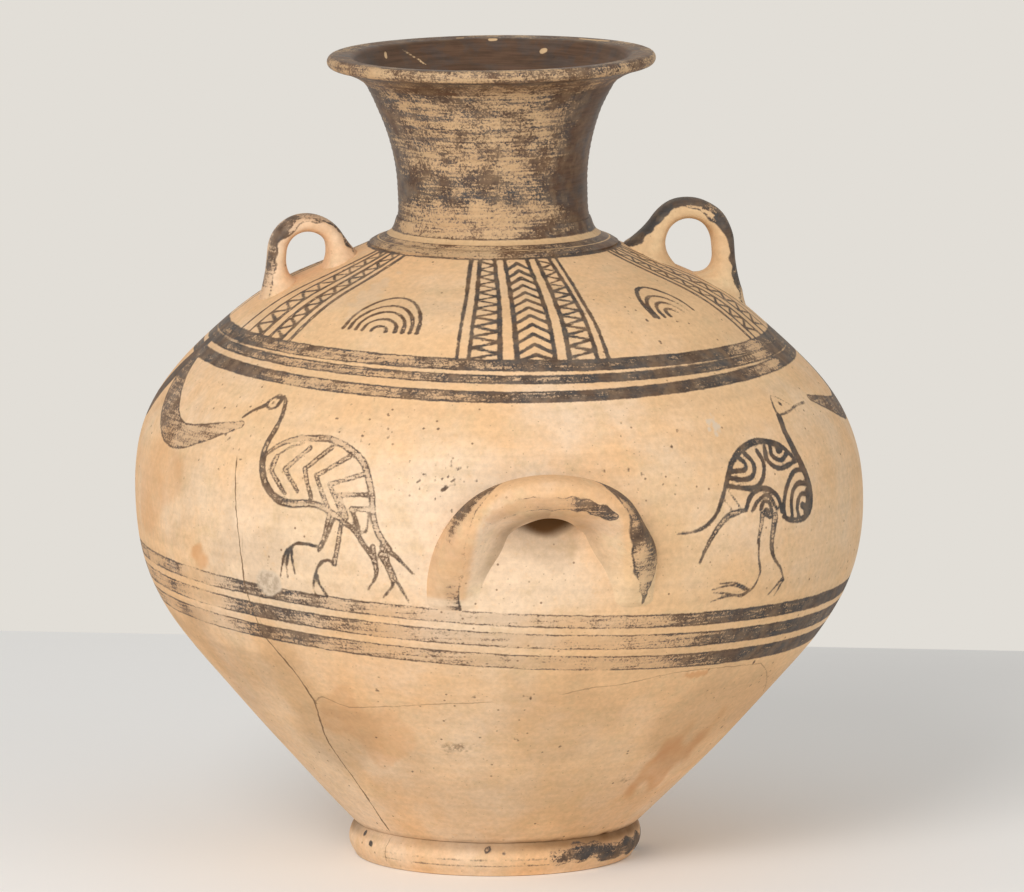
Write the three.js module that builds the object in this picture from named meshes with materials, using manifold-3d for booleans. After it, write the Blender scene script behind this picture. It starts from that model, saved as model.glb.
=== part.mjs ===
// Four-handled amphora: a storage jar thrown in sections that are luted together with slip, with two loop
// handles on the shoulder and two upturned handles on the belly.
// Millimetres, +Z up. The origin is the middle of the foot's underside. The belly handles stand on -Y, the
// front, and on +Y; the shoulder handles stand on -X and +X.
import * as THREE from "three";
import { mergeVertices } from "three/addons/utils/BufferGeometryUtils.js";
import Module from "manifold-3d";

const wasm = await Module();
wasm.setup();

const JAR_HEIGHT = 450;

// Joints between the sections: a tongue on one edge stands inside the next section
const SLIP = 0.3; // gap that the slip fills between two luted pieces
const LAP = 7; // how far a tongue reaches into the next section

// Foot ring
const FOOT_HEIGHT = 19;
const FOOT_BASE_RADIUS = 78;
const FOOT_TOP_RADIUS = 79.5;
const FOOT_SWELL = 5.5; // how far the outer face is drawn out between base and top
const FOOT_RING_WIDTH = 22;
const FOOT_EDGE = 1.5; // bevel on the edges that the jar stands on

// Body, from the foot up: stretches as shares of the body's height, of which the shoulder is the rest, radii
// at their ends, and wall angles from the horizontal
const BODY_WALL = 8;
const FLOOR_THICKNESS = 10;
const BOSS_HEIGHT = 4; // stub under the floor, inside the foot ring
const CONE_SHARE = 0.275;
const CONE_FOOT_ANGLE = 45;
const SEAM_RADIUS = 163.5;
const SEAM_ANGLE = 49;
const LOWER_BELLY_SHARE = 0.2875;
const BELLY_RADIUS = 203;
const UPPER_BELLY_SHARE = 0.2575;
const BELLY_TOP_RADIUS = 160.5;
const BELLY_TOP_ANGLE = 137;
const SHOULDER_TOP_ANGLE = 154;

// Neck, with a low collar of clay round its foot
const NECK_WALL = 7;
const NECK_SPIGOT = 12; // how far the neck reaches down into the shoulder's opening
const NECK_FOOT_RADIUS = 57;
const NECK_FOOT_ANGLE = 126;
const NECK_WAIST_RISE = 26;
const NECK_WAIST_RADIUS = 52.7;
const NECK_FLARE_RISE = 58;
const NECK_TOP_RADIUS = 70;
const NECK_TOP_ANGLE = 59;
const COLLAR_WIDTH = 11;
const COLLAR_HEIGHT = 6;

// Rim, a flat lip with a round edge and a crease under it
const RIM_HEIGHT = 16;
const RIM_RADIUS = 91.7;
const MOUTH_RADIUS = 78.6;
const LIP_THICKNESS = 7;
const CREASE_RADIUS = 73;
const CREASE_RISE = 2.5; // height of the crease above the neck

// Shoulder handles: a strap bent into a loop that stands along the radius and spreads on to the shoulder
const LOOP_PLACE = 0.487; // middle of the finger hole, as a share of the way from the neck to the belly
const RIGHT_LOOP_HOLE = 27;
const RIGHT_LOOP_RISE = 15; // middle of the finger hole above the shoulder
const LEFT_LOOP_HOLE = 25;
const LEFT_LOOP_RISE = 12;
const LOOP_THICKNESS = 10.5;
const LOOP_WIDTH = 19;
const LOOP_INNER_SPLAY = 36; // degrees that the leg by the neck leans from upright
const LOOP_OUTER_SPLAY = 3;
const LOOP_FOOT_THICKNESS = 26;
const LOOP_FOOT_WIDTH = 25;
const LOOP_FLARE = 20; // length of leg over which the strap spreads

// Belly handles: a thick rod bent into an arch that leans out from the wall as it rises
const ARCH_SPAN = 131; // over the outsides of the legs
const ARCH_HEIGHT = 76; // from the roots to the top of the rod
const ARCH_DROP = 33; // roots below the jar's widest level
const ARCH_TOP_WIDTH = 24.5; // width of the rod, seen from the front
const ARCH_LEG_WIDTH = 38;
const ARCH_DEPTH = 20; // thickness of the rod, away from the wall
const ARCH_GAP = 16; // between the wall and the top of the arch
const ARCH_TUCK = 25; // degrees that the rod runs on into the wall at each root

// Fullness of the outline's curves: how strongly the angle at an end draws the curve
const CONE_FULLNESS = 0.35;
const BELLY_FULLNESS = 0.4;
const SHOULDER_LOW_FULLNESS = 0.46;
const SHOULDER_TOP_FULLNESS = 0.6;
const NECK_FULLNESS = 0.33;

// Fineness of the faceted solids
const TURN_STEPS = 48;
const CONE_STEPS = 4;
const BELLY_STEPS = 5;
const SHOULDER_STEPS = 6;
const NECK_STEPS = 8;
const EDGE_STEPS = 3;
const ROD_SIDES = 14;
const LOOP_STEPS = 18;
const ARCH_STEPS = 22;
const SEARCH_STEPS = 40;

// Heights of the joints, stacked from the ground
const bodyFoot = FOOT_HEIGHT + SLIP;
const neckTop = JAR_HEIGHT - RIM_HEIGHT;
const neckWaist = neckTop - NECK_FLARE_RISE;
const neckFoot = neckWaist - NECK_WAIST_RISE;
const bodyHeight = neckFoot - bodyFoot;
const seamHeight = bodyFoot + CONE_SHARE * bodyHeight;
const widestHeight = seamHeight + LOWER_BELLY_SHARE * bodyHeight;
const bellyTop = widestHeight + UPPER_BELLY_SHARE * bodyHeight;
const footBore = FOOT_TOP_RADIUS - FOOT_RING_WIDTH;
const loopDistance = THREE.MathUtils.lerp(NECK_FOOT_RADIUS, BELLY_TOP_RADIUS, LOOP_PLACE);

const degrees = THREE.MathUtils.degToRad;
const at = (radius, height) => new THREE.Vector2(radius, height);

// Cubic curve between two points of the outline that leaves and arrives at given angles.
function sweep(start, startAngle, startFullness, end, endAngle, endFullness) {
  const chord = start.distanceTo(end);
  const leave = at(Math.cos(degrees(startAngle)), Math.sin(degrees(startAngle)));
  const arrive = at(Math.cos(degrees(endAngle)), Math.sin(degrees(endAngle)));
  return new THREE.CubicBezierCurve(
    start,
    start.clone().addScaledVector(leave, chord * startFullness),
    end.clone().addScaledVector(arrive, -chord * endFullness),
    end,
  );
}

// Outer line of the body, from the foot ring to the neck.
const upright = 90;
const footPoint = at(FOOT_TOP_RADIUS, bodyFoot);
const seamPoint = at(SEAM_RADIUS, seamHeight);
const widestPoint = at(BELLY_RADIUS, widestHeight);
const bellyTopPoint = at(BELLY_TOP_RADIUS, bellyTop);
const neckFootPoint = at(NECK_FOOT_RADIUS, neckFoot);
const coneCurve = sweep(footPoint, CONE_FOOT_ANGLE, CONE_FULLNESS, seamPoint, SEAM_ANGLE, CONE_FULLNESS);
const bellyLowCurve = sweep(seamPoint, SEAM_ANGLE, BELLY_FULLNESS, widestPoint, upright, BELLY_FULLNESS);
const bellyHighCurve = sweep(
  widestPoint,
  upright,
  BELLY_FULLNESS,
  bellyTopPoint,
  BELLY_TOP_ANGLE,
  BELLY_FULLNESS,
);
const shoulderCurve = sweep(
  bellyTopPoint,
  BELLY_TOP_ANGLE,
  SHOULDER_LOW_FULLNESS,
  neckFootPoint,
  SHOULDER_TOP_ANGLE,
  SHOULDER_TOP_FULLNESS,
);
const bodyLine = new THREE.CurvePath();
bodyLine.curves = [coneCurve, bellyLowCurve, bellyHighCurve, shoulderCurve];
const seamDistance = coneCurve.getLength();
const widestDistance = seamDistance + bellyLowCurve.getLength();
const bellyTopDistance = widestDistance + bellyHighCurve.getLength();
const bodyLength = bodyLine.getLength();

// Outer line of the neck, from the shoulder to the rim.
const waistPoint = at(NECK_WAIST_RADIUS, neckWaist);
const neckTopPoint = at(NECK_TOP_RADIUS, neckTop);
const neckLine = new THREE.CurvePath();
neckLine.curves = [
  sweep(neckFootPoint, NECK_FOOT_ANGLE, NECK_FULLNESS, waistPoint, upright, NECK_FULLNESS),
  sweep(waistPoint, upright, NECK_FULLNESS, neckTopPoint, NECK_TOP_ANGLE, NECK_FULLNESS),
];
const neckLength = neckLine.getLength();

// Point at a distance along a line, sunk into the wall by a depth. Past its ends the line runs straight on.
function pointOn(line, distance, depth) {
  const length = line.getLength();
  const t = THREE.MathUtils.clamp(distance / length, 0, 1);
  const tangent = line.getTangent(t);
  const inward = at(-tangent.y, tangent.x);
  return line
    .getPoint(t)
    .addScaledVector(tangent, distance - t * length)
    .addScaledVector(inward, depth);
}

// Evenly spaced points along a line between two distances.
function along(line, from, to, depth, steps) {
  return Array.from({ length: steps + 1 }, (_, i) =>
    pointOn(line, THREE.MathUtils.lerp(from, to, i / steps), depth),
  );
}

// Distance along a line up to which a test of its points holds.
function distanceWhile(line, depth, holds) {
  let low = 0;
  let high = line.getLength();
  for (let i = 0; i < SEARCH_STEPS; i++) {
    const middle = (low + high) / 2;
    if (holds(pointOn(line, middle, depth))) low = middle;
    else high = middle;
  }
  return low;
}

// Body radius at a height, and shoulder height at a radius.
const bodyRadius = (height) => pointOn(bodyLine, distanceWhile(bodyLine, 0, (p) => p.y < height), 0).x;
const shoulderHeight = (radius) =>
  pointOn(bodyLine, distanceWhile(bodyLine, 0, (p) => p.y < widestHeight || p.x > radius), 0).y;

// Solid turned from an outline about +Z; the outline goes up the outside and down the inside.
function turned(outline) {
  const first = outline[0];
  const last = outline[outline.length - 1];
  const closed = first.x === 0 && last.x === 0 ? outline : [...outline, first.clone()];
  return new THREE.LatheGeometry(closed, TURN_STEPS).rotateX(Math.PI / 2);
}

// Closed geometry as a solid that can be joined and cut.
function solidOf(geometry) {
  const bare = new THREE.BufferGeometry();
  bare.setAttribute("position", geometry.getAttribute("position"));
  bare.setIndex(geometry.index);
  const merged = mergeVertices(bare);
  return new wasm.Manifold(
    new wasm.Mesh({
      numProp: 3,
      vertProperties: merged.getAttribute("position").array,
      triVerts: new Uint32Array(merged.index.array),
    }),
  );
}

// Solid back as geometry.
function geometryOf(solid) {
  const mesh = solid.getMesh();
  const geometry = new THREE.BufferGeometry();
  geometry.setAttribute("position", new THREE.BufferAttribute(mesh.vertProperties, mesh.numProp));
  geometry.setIndex(new THREE.BufferAttribute(mesh.triVerts, 1));
  geometry.computeVertexNormals();
  return geometry;
}

// Outer faces of the sections, at a depth in the wall; each starts one slip gap above the section below.
const coneFace = (depth) => along(bodyLine, 0, seamDistance, depth, CONE_STEPS);
const ringFace = (from, to, depth, steps) => along(bodyLine, from + SLIP, to, depth, steps);
const lowerBellyFace = (depth) => ringFace(seamDistance, widestDistance, depth, BELLY_STEPS);
const upperBellyFace = (depth) => ringFace(widestDistance, bellyTopDistance, depth, BELLY_STEPS);
const shoulderFace = (depth) => ringFace(bellyTopDistance, bodyLength, depth, SHOULDER_STEPS);
const neckFace = (depth) => along(neckLine, 0, neckLength, depth, NECK_STEPS);

// The form behind a face, filled to the axis, which trims what is luted on to that face.
function filledBehind(face) {
  return solidOf(turned([at(0, face[0].y), ...face, at(0, face[face.length - 1].y)]));
}

// Two edges of a tongue joint at a distance along a wall: the tongue itself, and the rebate that takes it.
function tongueEdge(line, distance, wall) {
  const depth = (wall + SLIP) / 2;
  return [pointOn(line, distance, depth), pointOn(line, distance + LAP, depth)];
}
function rebateEdge(line, distance, wall) {
  const depth = (wall - SLIP) / 2;
  return [pointOn(line, distance + LAP + SLIP, depth), pointOn(line, distance + SLIP, depth)];
}

// Foot ring: a swelling band of clay round the stub of the floor.
function footRing() {
  const outline = new THREE.Path();
  outline.moveTo(footBore, FOOT_EDGE);
  outline.lineTo(footBore + FOOT_EDGE, 0);
  outline.lineTo(FOOT_BASE_RADIUS - FOOT_EDGE, 0);
  outline.lineTo(FOOT_BASE_RADIUS, FOOT_EDGE);
  outline.quadraticCurveTo(FOOT_TOP_RADIUS + FOOT_SWELL, FOOT_HEIGHT / 2, FOOT_TOP_RADIUS, FOOT_HEIGHT);
  outline.lineTo(footBore, FOOT_HEIGHT);
  return turned(outline.getPoints(EDGE_STEPS * 2));
}

// Lower body: the open cone with its floor, and a tongue round the top.
function lowerBody() {
  const floorTop = bodyFoot + FLOOR_THICKNESS;
  const innerFoot = distanceWhile(bodyLine, BODY_WALL, (p) => p.y < floorTop);
  const bossRadius = footBore - SLIP;
  return turned([
    at(0, bodyFoot - BOSS_HEIGHT),
    at(bossRadius, bodyFoot - BOSS_HEIGHT),
    at(bossRadius, bodyFoot),
    ...coneFace(0),
    ...tongueEdge(bodyLine, seamDistance, BODY_WALL),
    ...along(bodyLine, seamDistance + LAP, innerFoot, BODY_WALL, CONE_STEPS),
    at(0, floorTop),
  ]);
}

// One ring of the belly, seated over the tongue of the section below and with a tongue of its own.
function bellyRing(face, from, to) {
  return turned([
    ...face,
    ...tongueEdge(bodyLine, to, BODY_WALL),
    ...along(bodyLine, to + LAP, from + LAP + SLIP, BODY_WALL, BELLY_STEPS),
    ...rebateEdge(bodyLine, from, BODY_WALL),
  ]);
}

// Shoulder: the closing section, cut open in the middle for the neck.
function shoulder() {
  const section = turned([
    ...shoulderFace(0),
    ...along(bodyLine, bodyLength, bellyTopDistance + LAP + SLIP, BODY_WALL, SHOULDER_STEPS),
    ...rebateEdge(bodyLine, bellyTopDistance, BODY_WALL),
  ]);
  const opening = turned([
    at(0, bellyTop),
    at(NECK_FOOT_RADIUS + SLIP, bellyTop),
    at(NECK_FOOT_RADIUS + SLIP, JAR_HEIGHT),
    at(0, JAR_HEIGHT),
  ]);
  return geometryOf(solidOf(section).subtract(solidOf(opening)));
}

// Neck: a flaring tube with a spigot in the shoulder's opening, and a tongue round the top.
function neck() {
  const innerFoot = pointOn(neckLine, 0, NECK_WALL).x;
  return turned([
    at(innerFoot, neckFoot - NECK_SPIGOT),
    at(NECK_FOOT_RADIUS, neckFoot - NECK_SPIGOT),
    ...neckFace(0),
    ...tongueEdge(neckLine, neckLength, NECK_WALL),
    ...along(neckLine, neckLength + LAP, 0, NECK_WALL, NECK_STEPS),
  ]);
}

// Collar: a low ridge of clay in the corner between shoulder and neck.
function neckCollar(bodyTrimmer, neckTrimmer) {
  const outerRadius = NECK_FOOT_RADIUS + COLLAR_WIDTH;
  const outerFoot = shoulderHeight(outerRadius);
  const outline = new THREE.Path();
  outline.moveTo(NECK_WAIST_RADIUS, outerFoot - BODY_WALL);
  outline.lineTo(outerRadius, outerFoot - BODY_WALL);
  outline.lineTo(outerRadius, outerFoot + COLLAR_HEIGHT / 3);
  outline.quadraticCurveTo(
    NECK_FOOT_RADIUS + COLLAR_WIDTH / 2,
    neckFoot + COLLAR_HEIGHT / 2,
    NECK_FOOT_RADIUS,
    neckFoot + COLLAR_HEIGHT,
  );
  outline.lineTo(NECK_WAIST_RADIUS, neckFoot + COLLAR_HEIGHT);
  const spigotHole = turned([
    at(0, bellyTop),
    at(NECK_FOOT_RADIUS + SLIP, bellyTop),
    at(NECK_FOOT_RADIUS + SLIP, neckFoot),
    at(0, neckFoot),
  ]);
  const ridge = solidOf(turned(outline.getPoints(EDGE_STEPS)));
  return geometryOf(ridge.subtract(bodyTrimmer).subtract(neckTrimmer).subtract(solidOf(spigotHole)));
}

// Rim: the everted lip, seated over the neck's tongue.
function rim() {
  const edge = LIP_THICKNESS / 2;
  const seat = pointOn(neckLine, neckLength + SLIP, 0);
  const inside = pointOn(neckLine, neckLength + LAP + SLIP, NECK_WALL);
  const outline = new THREE.Path();
  outline.moveTo(seat.x, seat.y);
  outline.lineTo(CREASE_RADIUS, neckTop + CREASE_RISE);
  outline.lineTo(RIM_RADIUS - edge, JAR_HEIGHT - LIP_THICKNESS);
  outline.absarc(RIM_RADIUS - edge, JAR_HEIGHT - edge, edge, -Math.PI / 2, Math.PI / 2);
  outline.lineTo(MOUTH_RADIUS, JAR_HEIGHT);
  outline.lineTo(inside.x, inside.y);
  return turned([...outline.getPoints(EDGE_STEPS), ...rebateEdge(neckLine, neckLength, NECK_WALL)]);
}

// Centre line of a shoulder handle, in the plane of X and Z: a straight leg, an arc and a second leg.
class LoopLine extends THREE.Curve {
  constructor(bow, innerLeg, outerLeg) {
    super();
    this.bow = bow;
    this.innerLeg = innerLeg;
    this.outerLeg = outerLeg;
    this.arcStart = Math.PI - degrees(LOOP_INNER_SPLAY);
    this.arcEnd = degrees(LOOP_OUTER_SPLAY);
    this.arc = bow * (this.arcStart - this.arcEnd);
    this.total = innerLeg + this.arc + outerLeg;
  }
  getPoint(t) {
    const along = t * this.total - this.innerLeg;
    const onArc = THREE.MathUtils.clamp(along, 0, this.arc);
    const turn = this.arcStart - onArc / this.bow;
    const straight = along - onArc;
    return new THREE.Vector3(
      this.bow * Math.cos(turn) + straight * Math.sin(turn),
      0,
      this.bow * Math.sin(turn) - straight * Math.cos(turn),
    );
  }
}

// Centre line of a belly handle: half an ellipse in a plane that leans out to -Y, tucked in past its ends.
class ArchLine extends THREE.Curve {
  constructor(halfSpan, rise, lean) {
    super();
    this.halfSpan = halfSpan;
    this.rise = rise;
    this.lean = lean;
  }
  turnAt(t) {
    return THREE.MathUtils.lerp(degrees(-ARCH_TUCK), Math.PI + degrees(ARCH_TUCK), t);
  }
  getPoint(t) {
    const lift = Math.sin(this.turnAt(t));
    const x = -this.halfSpan * Math.cos(this.turnAt(t));
    return new THREE.Vector3(x, -this.lean * lift, this.rise * lift);
  }
}

// Rod along a plane curve whose oval section changes on the way: its width lies in the curve's plane, and
// its depth square to that plane.
function rodAlong(curve, planeNormal, steps, sectionAt) {
  const points = [];
  const faces = [];
  for (let i = 0; i <= steps; i++) {
    const centre = curve.getPoint(i / steps);
    const across = planeNormal.clone().cross(curve.getTangent(i / steps));
    const [width, depth] = sectionAt(i / steps);
    for (let j = 0; j < ROD_SIDES; j++) {
      const turn = (2 * Math.PI * j) / ROD_SIDES;
      const point = centre.clone().addScaledVector(across, (width / 2) * Math.cos(turn));
      points.push(point.addScaledVector(planeNormal, (depth / 2) * Math.sin(turn)));
    }
  }
  for (let i = 0; i < steps * ROD_SIDES; i += ROD_SIDES) {
    for (let j = 0; j < ROD_SIDES; j++) {
      const a = i + j;
      const b = i + ((j + 1) % ROD_SIDES);
      faces.push(a, b, b + ROD_SIDES, a, b + ROD_SIDES, a + ROD_SIDES);
    }
  }
  const last = steps * ROD_SIDES;
  for (let j = 1; j < ROD_SIDES - 1; j++) {
    faces.push(0, j + 1, j, last, last + j, last + j + 1);
  }
  return new THREE.BufferGeometry().setFromPoints(points).setIndex(faces);
}

// Length of a straight leg from a point down to the shoulder, both in the plane of X and Z.
function legToShoulder(start, direction) {
  let above = 0;
  let below = start.y;
  for (let i = 0; i < SEARCH_STEPS; i++) {
    const middle = (above + below) / 2;
    const point = start.clone().addScaledVector(direction, middle);
    if (point.y > shoulderHeight(point.x)) above = middle;
    else below = middle;
  }
  return above;
}

// Shoulder handle, on the +X side.
function loopHandle(hole, holeRise, bodyTrimmer) {
  const bow = (hole + LOOP_THICKNESS) / 2;
  const middle = at(loopDistance, shoulderHeight(loopDistance) + holeRise);
  const legFrom = (turn, way) => {
    const start = at(Math.cos(turn), Math.sin(turn)).multiplyScalar(bow).add(middle);
    return legToShoulder(start, at(Math.sin(turn), -Math.cos(turn)).multiplyScalar(way));
  };
  const innerLeg = legFrom(Math.PI - degrees(LOOP_INNER_SPLAY), -1);
  const outerLeg = legFrom(degrees(LOOP_OUTER_SPLAY), 1);
  const line = new LoopLine(bow, innerLeg + BODY_WALL, outerLeg + BODY_WALL);
  const strap = rodAlong(line, new THREE.Vector3(0, 1, 0), LOOP_STEPS, (t) => {
    const fromRoot = Math.min(t, 1 - t) * line.total - BODY_WALL;
    const spread = (1 - THREE.MathUtils.clamp(fromRoot / LOOP_FLARE, 0, 1)) ** 2;
    const thickness = THREE.MathUtils.lerp(LOOP_THICKNESS, LOOP_FOOT_THICKNESS, spread);
    return [thickness, THREE.MathUtils.lerp(LOOP_WIDTH, LOOP_FOOT_WIDTH, spread)];
  });
  return geometryOf(solidOf(strap.translate(middle.x, 0, middle.y)).subtract(bodyTrimmer));
}

// Belly handle, on the -Y side.
function archHandle(bodyTrimmer) {
  const halfSpan = (ARCH_SPAN - ARCH_LEG_WIDTH) / 2;
  const rise = ARCH_HEIGHT - ARCH_TOP_WIDTH / 2;
  const rootHeight = widestHeight - ARCH_DROP;
  const rootDistance = Math.sqrt(bodyRadius(rootHeight) ** 2 - halfSpan ** 2) - ARCH_DEPTH / 2;
  const topDistance = bodyRadius(rootHeight + rise) + ARCH_GAP + ARCH_DEPTH / 2;
  const line = new ArchLine(halfSpan, rise, topDistance - rootDistance);
  const planeNormal = new THREE.Vector3(0, -line.rise, -line.lean).normalize();
  const rod = rodAlong(line, planeNormal, ARCH_STEPS, (t) => {
    const lift = THREE.MathUtils.clamp(Math.sin(line.turnAt(t)), 0, 1);
    return [THREE.MathUtils.lerp(ARCH_LEG_WIDTH, ARCH_TOP_WIDTH, lift), ARCH_DEPTH];
  });
  return geometryOf(solidOf(rod.translate(0, -rootDistance, rootHeight)).subtract(bodyTrimmer));
}

// Named piece of bare or painted clay.
function piece(name, geometry, colour, roughness) {
  const material = new THREE.MeshStandardMaterial({ color: colour, roughness, metalness: 0 });
  const mesh = new THREE.Mesh(geometry, material);
  mesh.name = name;
  return mesh;
}

const BUFF_CLAY = 0xd9b88f;
const PALE_CLAY = 0xdcc29c;
const DARK_PAINT = 0x5a463a;
const BARE_ROUGHNESS = 0.78;
const PAINT_ROUGHNESS = 0.6;

const bodyTrimmer = filledBehind([
  ...coneFace(-SLIP),
  ...lowerBellyFace(-SLIP),
  ...upperBellyFace(-SLIP),
  ...shoulderFace(-SLIP),
]);
const neckTrimmer = filledBehind(neckFace(-SLIP));

const lowerBelly = bellyRing(lowerBellyFace(0), seamDistance, widestDistance);
const upperBelly = bellyRing(upperBellyFace(0), widestDistance, bellyTopDistance);

const amphora = new THREE.Group();
amphora.add(
  piece("foot_ring", footRing(), BUFF_CLAY, BARE_ROUGHNESS),
  piece("lower_body", lowerBody(), PALE_CLAY, BARE_ROUGHNESS),
  piece("lower_belly", lowerBelly, BUFF_CLAY, BARE_ROUGHNESS),
  piece("upper_belly", upperBelly, BUFF_CLAY, BARE_ROUGHNESS),
  piece("shoulder", shoulder(), BUFF_CLAY, BARE_ROUGHNESS),
  piece("neck_collar", neckCollar(bodyTrimmer, neckTrimmer), DARK_PAINT, PAINT_ROUGHNESS),
  piece("neck", neck(), DARK_PAINT, PAINT_ROUGHNESS),
  piece("rim", rim(), DARK_PAINT, PAINT_ROUGHNESS),
);

// The handles are made on +X and -Y; the left and the back one are turned half way round.
const HALF_TURN = Math.PI;
const arch = archHandle(bodyTrimmer);
const handles = [
  ["shoulder_handle_right", loopHandle(RIGHT_LOOP_HOLE, RIGHT_LOOP_RISE, bodyTrimmer), 0],
  ["shoulder_handle_left", loopHandle(LEFT_LOOP_HOLE, LEFT_LOOP_RISE, bodyTrimmer), HALF_TURN],
  ["belly_handle_front", arch, 0],
  ["belly_handle_back", arch, HALF_TURN],
];
for (const [name, geometry, turn] of handles) {
  const handle = piece(name, geometry, BUFF_CLAY, BARE_ROUGHNESS);
  handle.rotation.z = turn;
  amphora.add(handle);
}

export default amphora;
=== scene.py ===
"""Four-handled amphora: a painted clay storage jar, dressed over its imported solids.

Sizes are in millimetres and angles in degrees unless a name says otherwise. A place on the wall is given by
its angle from the front handle, positive towards the right shoulder handle, and by its height above the
ground.
"""
from __future__ import annotations

import logging
import math
from dataclasses import dataclass, field, replace
from enum import Enum
from typing import Callable, Sequence

import bmesh
import bpy
import numpy as np
from mathutils import Matrix, Vector

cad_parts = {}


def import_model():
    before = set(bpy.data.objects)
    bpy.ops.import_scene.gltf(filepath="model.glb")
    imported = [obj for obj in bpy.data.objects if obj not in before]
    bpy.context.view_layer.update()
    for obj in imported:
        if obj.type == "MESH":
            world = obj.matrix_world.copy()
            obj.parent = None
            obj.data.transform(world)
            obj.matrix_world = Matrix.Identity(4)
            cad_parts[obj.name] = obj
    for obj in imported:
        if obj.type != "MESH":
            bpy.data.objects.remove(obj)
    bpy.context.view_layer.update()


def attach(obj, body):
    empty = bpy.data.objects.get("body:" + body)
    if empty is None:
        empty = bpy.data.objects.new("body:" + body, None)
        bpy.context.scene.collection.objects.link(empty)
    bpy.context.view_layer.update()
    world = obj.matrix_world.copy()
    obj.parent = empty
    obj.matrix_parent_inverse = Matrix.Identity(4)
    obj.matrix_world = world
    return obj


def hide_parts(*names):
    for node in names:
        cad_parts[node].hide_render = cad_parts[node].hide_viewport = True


LOG = logging.getLogger("amphora")
MM = 0.001
Three = tuple[float, float, float]
Colour = Three
Place = tuple[float, float]
Points = Sequence[Place]
Array = np.ndarray
BMesh = bmesh.types.BMesh
Material = bpy.types.Material
Socket = bpy.types.NodeSocket
Sockets = dict[str, Socket]
Feeds = dict[str | int, object]


class Slot(Enum):
    """Material slots of the pieces."""

    BODY = "body_clay"
    FOOT = "foot_clay"
    NECK = "neck_paint"
    HANDLE = "handle_clay"


class Layer(Enum):
    """Values that each vertex carries for the finishes."""

    PAINT = "paint_distance"
    WEAR = "paint_wear"
    TONE = "paint_tone"
    CRACK = "crack_distance"
    OPEN = "crack_strength"
    RUST = "rust_stain"
    FILL = "plaster_fill"
    SOOT = "dark_scuff"
    BLOOM = "pale_bloom"
    # Darker clay: partly dirt, partly painted shade in the groove over the foot, behind and under the
    # handles and low on the body
    DIRT = "ground_in_dirt"


Layers = dict[Layer, Array]
Dressed = tuple[Array, Layers]
FAR = 9.0  # distance from paint that counts as bare clay
DEEP = -4.0  # distance inside paint past which it is all one
BLOCK = 24  # steps that are turned at a time
FULL_TURN = 180.0  # angle at which a turn ends that starts at -180
ROLL_CREASE = 60.0  # angle past which an edge of a roll is sharp
CURVE_POINTS = 121  # points on each curve of an outline
ROUND_STEPS, STRAIGHT_STEPS = 7, 3  # steps from mark to mark of a stroke
BLANK = {layer: 0.0 for layer in Layer} | {
    Layer.PAINT: FAR, Layer.WEAR: 0.4, Layer.TONE: 0.5, Layer.CRACK: FAR, Layer.BLOOM: 0.5,
}


def direction(angle: float) -> Array:
    """Unit vector of an outline at an angle from the horizontal."""
    return np.array([math.cos(math.radians(angle)), math.sin(math.radians(angle))])


def sweep(start: Place, start_angle: float, start_full: float, end: Place,
          end_angle: float, end_full: float) -> Array:
    """Cubic curve of an outline that leaves and arrives at given angles.

    Args:
        start: Radius and height of the first point.
        start_angle: Angle of the wall there, from the horizontal.
        start_full: How strongly that angle draws the curve, as a share of the chord.
        end: Radius and height of the last point.
        end_angle: Angle of the wall there.
        end_full: How strongly that angle draws the curve.

    Returns:
        Radii and heights along the curve, one row each.
    """
    first, last = np.array(start), np.array(end)
    chord = np.linalg.norm(last - first)
    leave = first + direction(start_angle) * chord * start_full
    arrive = last - direction(end_angle) * chord * end_full
    t = np.linspace(0.0, 1.0, CURVE_POINTS)[:, None]
    return (1 - t) ** 3 * first + 3 * (1 - t) ** 2 * t * leave + 3 * (1 - t) * t * t * arrive + t**3 * last


def smooth(value: Array | float, low: float, high: Array | float) -> Array:
    """Smooth step from 0 at low to 1 at high."""
    t = np.clip((np.asarray(value, float) - low) / (high - low), 0.0, 1.0)
    return t * t * (3 - 2 * t)


def table(value: Array | float, marks: Points) -> Array:
    """Values between those that a table gives at its marks."""
    return np.interp(value, *zip(*marks))


def round_trip(angle: Array, marks: Points) -> Array:
    """Values all round the jar from a table for its front, which its back repeats.

    Args:
        angle: Angles from the front.
        marks: Angles from -90 to 90 and the values there; the two ends meet halfway.

    Returns:
        Values at the angles.
    """
    ends = (marks[0][1] + marks[-1][1]) / 2
    return table((angle + 90.0) % 180.0 - 90.0, ((marks[0][0], ends), *marks[1:-1], (marks[-1][0], ends)))


def ripple(points: Array, wavelength: float, seed: int, waves: int = 9) -> Array:
    """Slow random unevenness of handmade clay.

    Args:
        points: Places in millimetres, one row each.
        wavelength: Typical length of a hump.
        seed: Seed of the random directions.
        waves: Number of waves that are added up.

    Returns:
        Heights of about -1 to 1.
    """
    rng = np.random.default_rng(seed)
    total = np.zeros(len(points))
    for _ in range(waves):
        way = rng.normal(size=3)
        way *= 2 * math.pi / (wavelength * rng.uniform(0.7, 1.5) * np.linalg.norm(way))
        total += np.sin(points @ way + rng.uniform(0, 2 * math.pi))
    return total / math.sqrt(waves)


def run_along(path: Array) -> Array:
    """Distance along a path at each of its points."""
    return np.concatenate([[0.0], np.cumsum(np.linalg.norm(np.diff(path, axis=0), axis=1))])


def from_segment(points: Array, start: Array, end: Array) -> tuple[Array, Array]:
    """Nearest place on a segment to each of some points.

    Args:
        points: The points.
        start: First end of the segment.
        end: Other end of the segment.

    Returns:
        Share of the way along the segment, and the offset of each point from there.
    """
    along = end - start
    share = np.clip((points - start) @ along / max(along @ along, 1e-9), 0, 1)
    return share, points - start - share[:, None] * along


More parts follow.
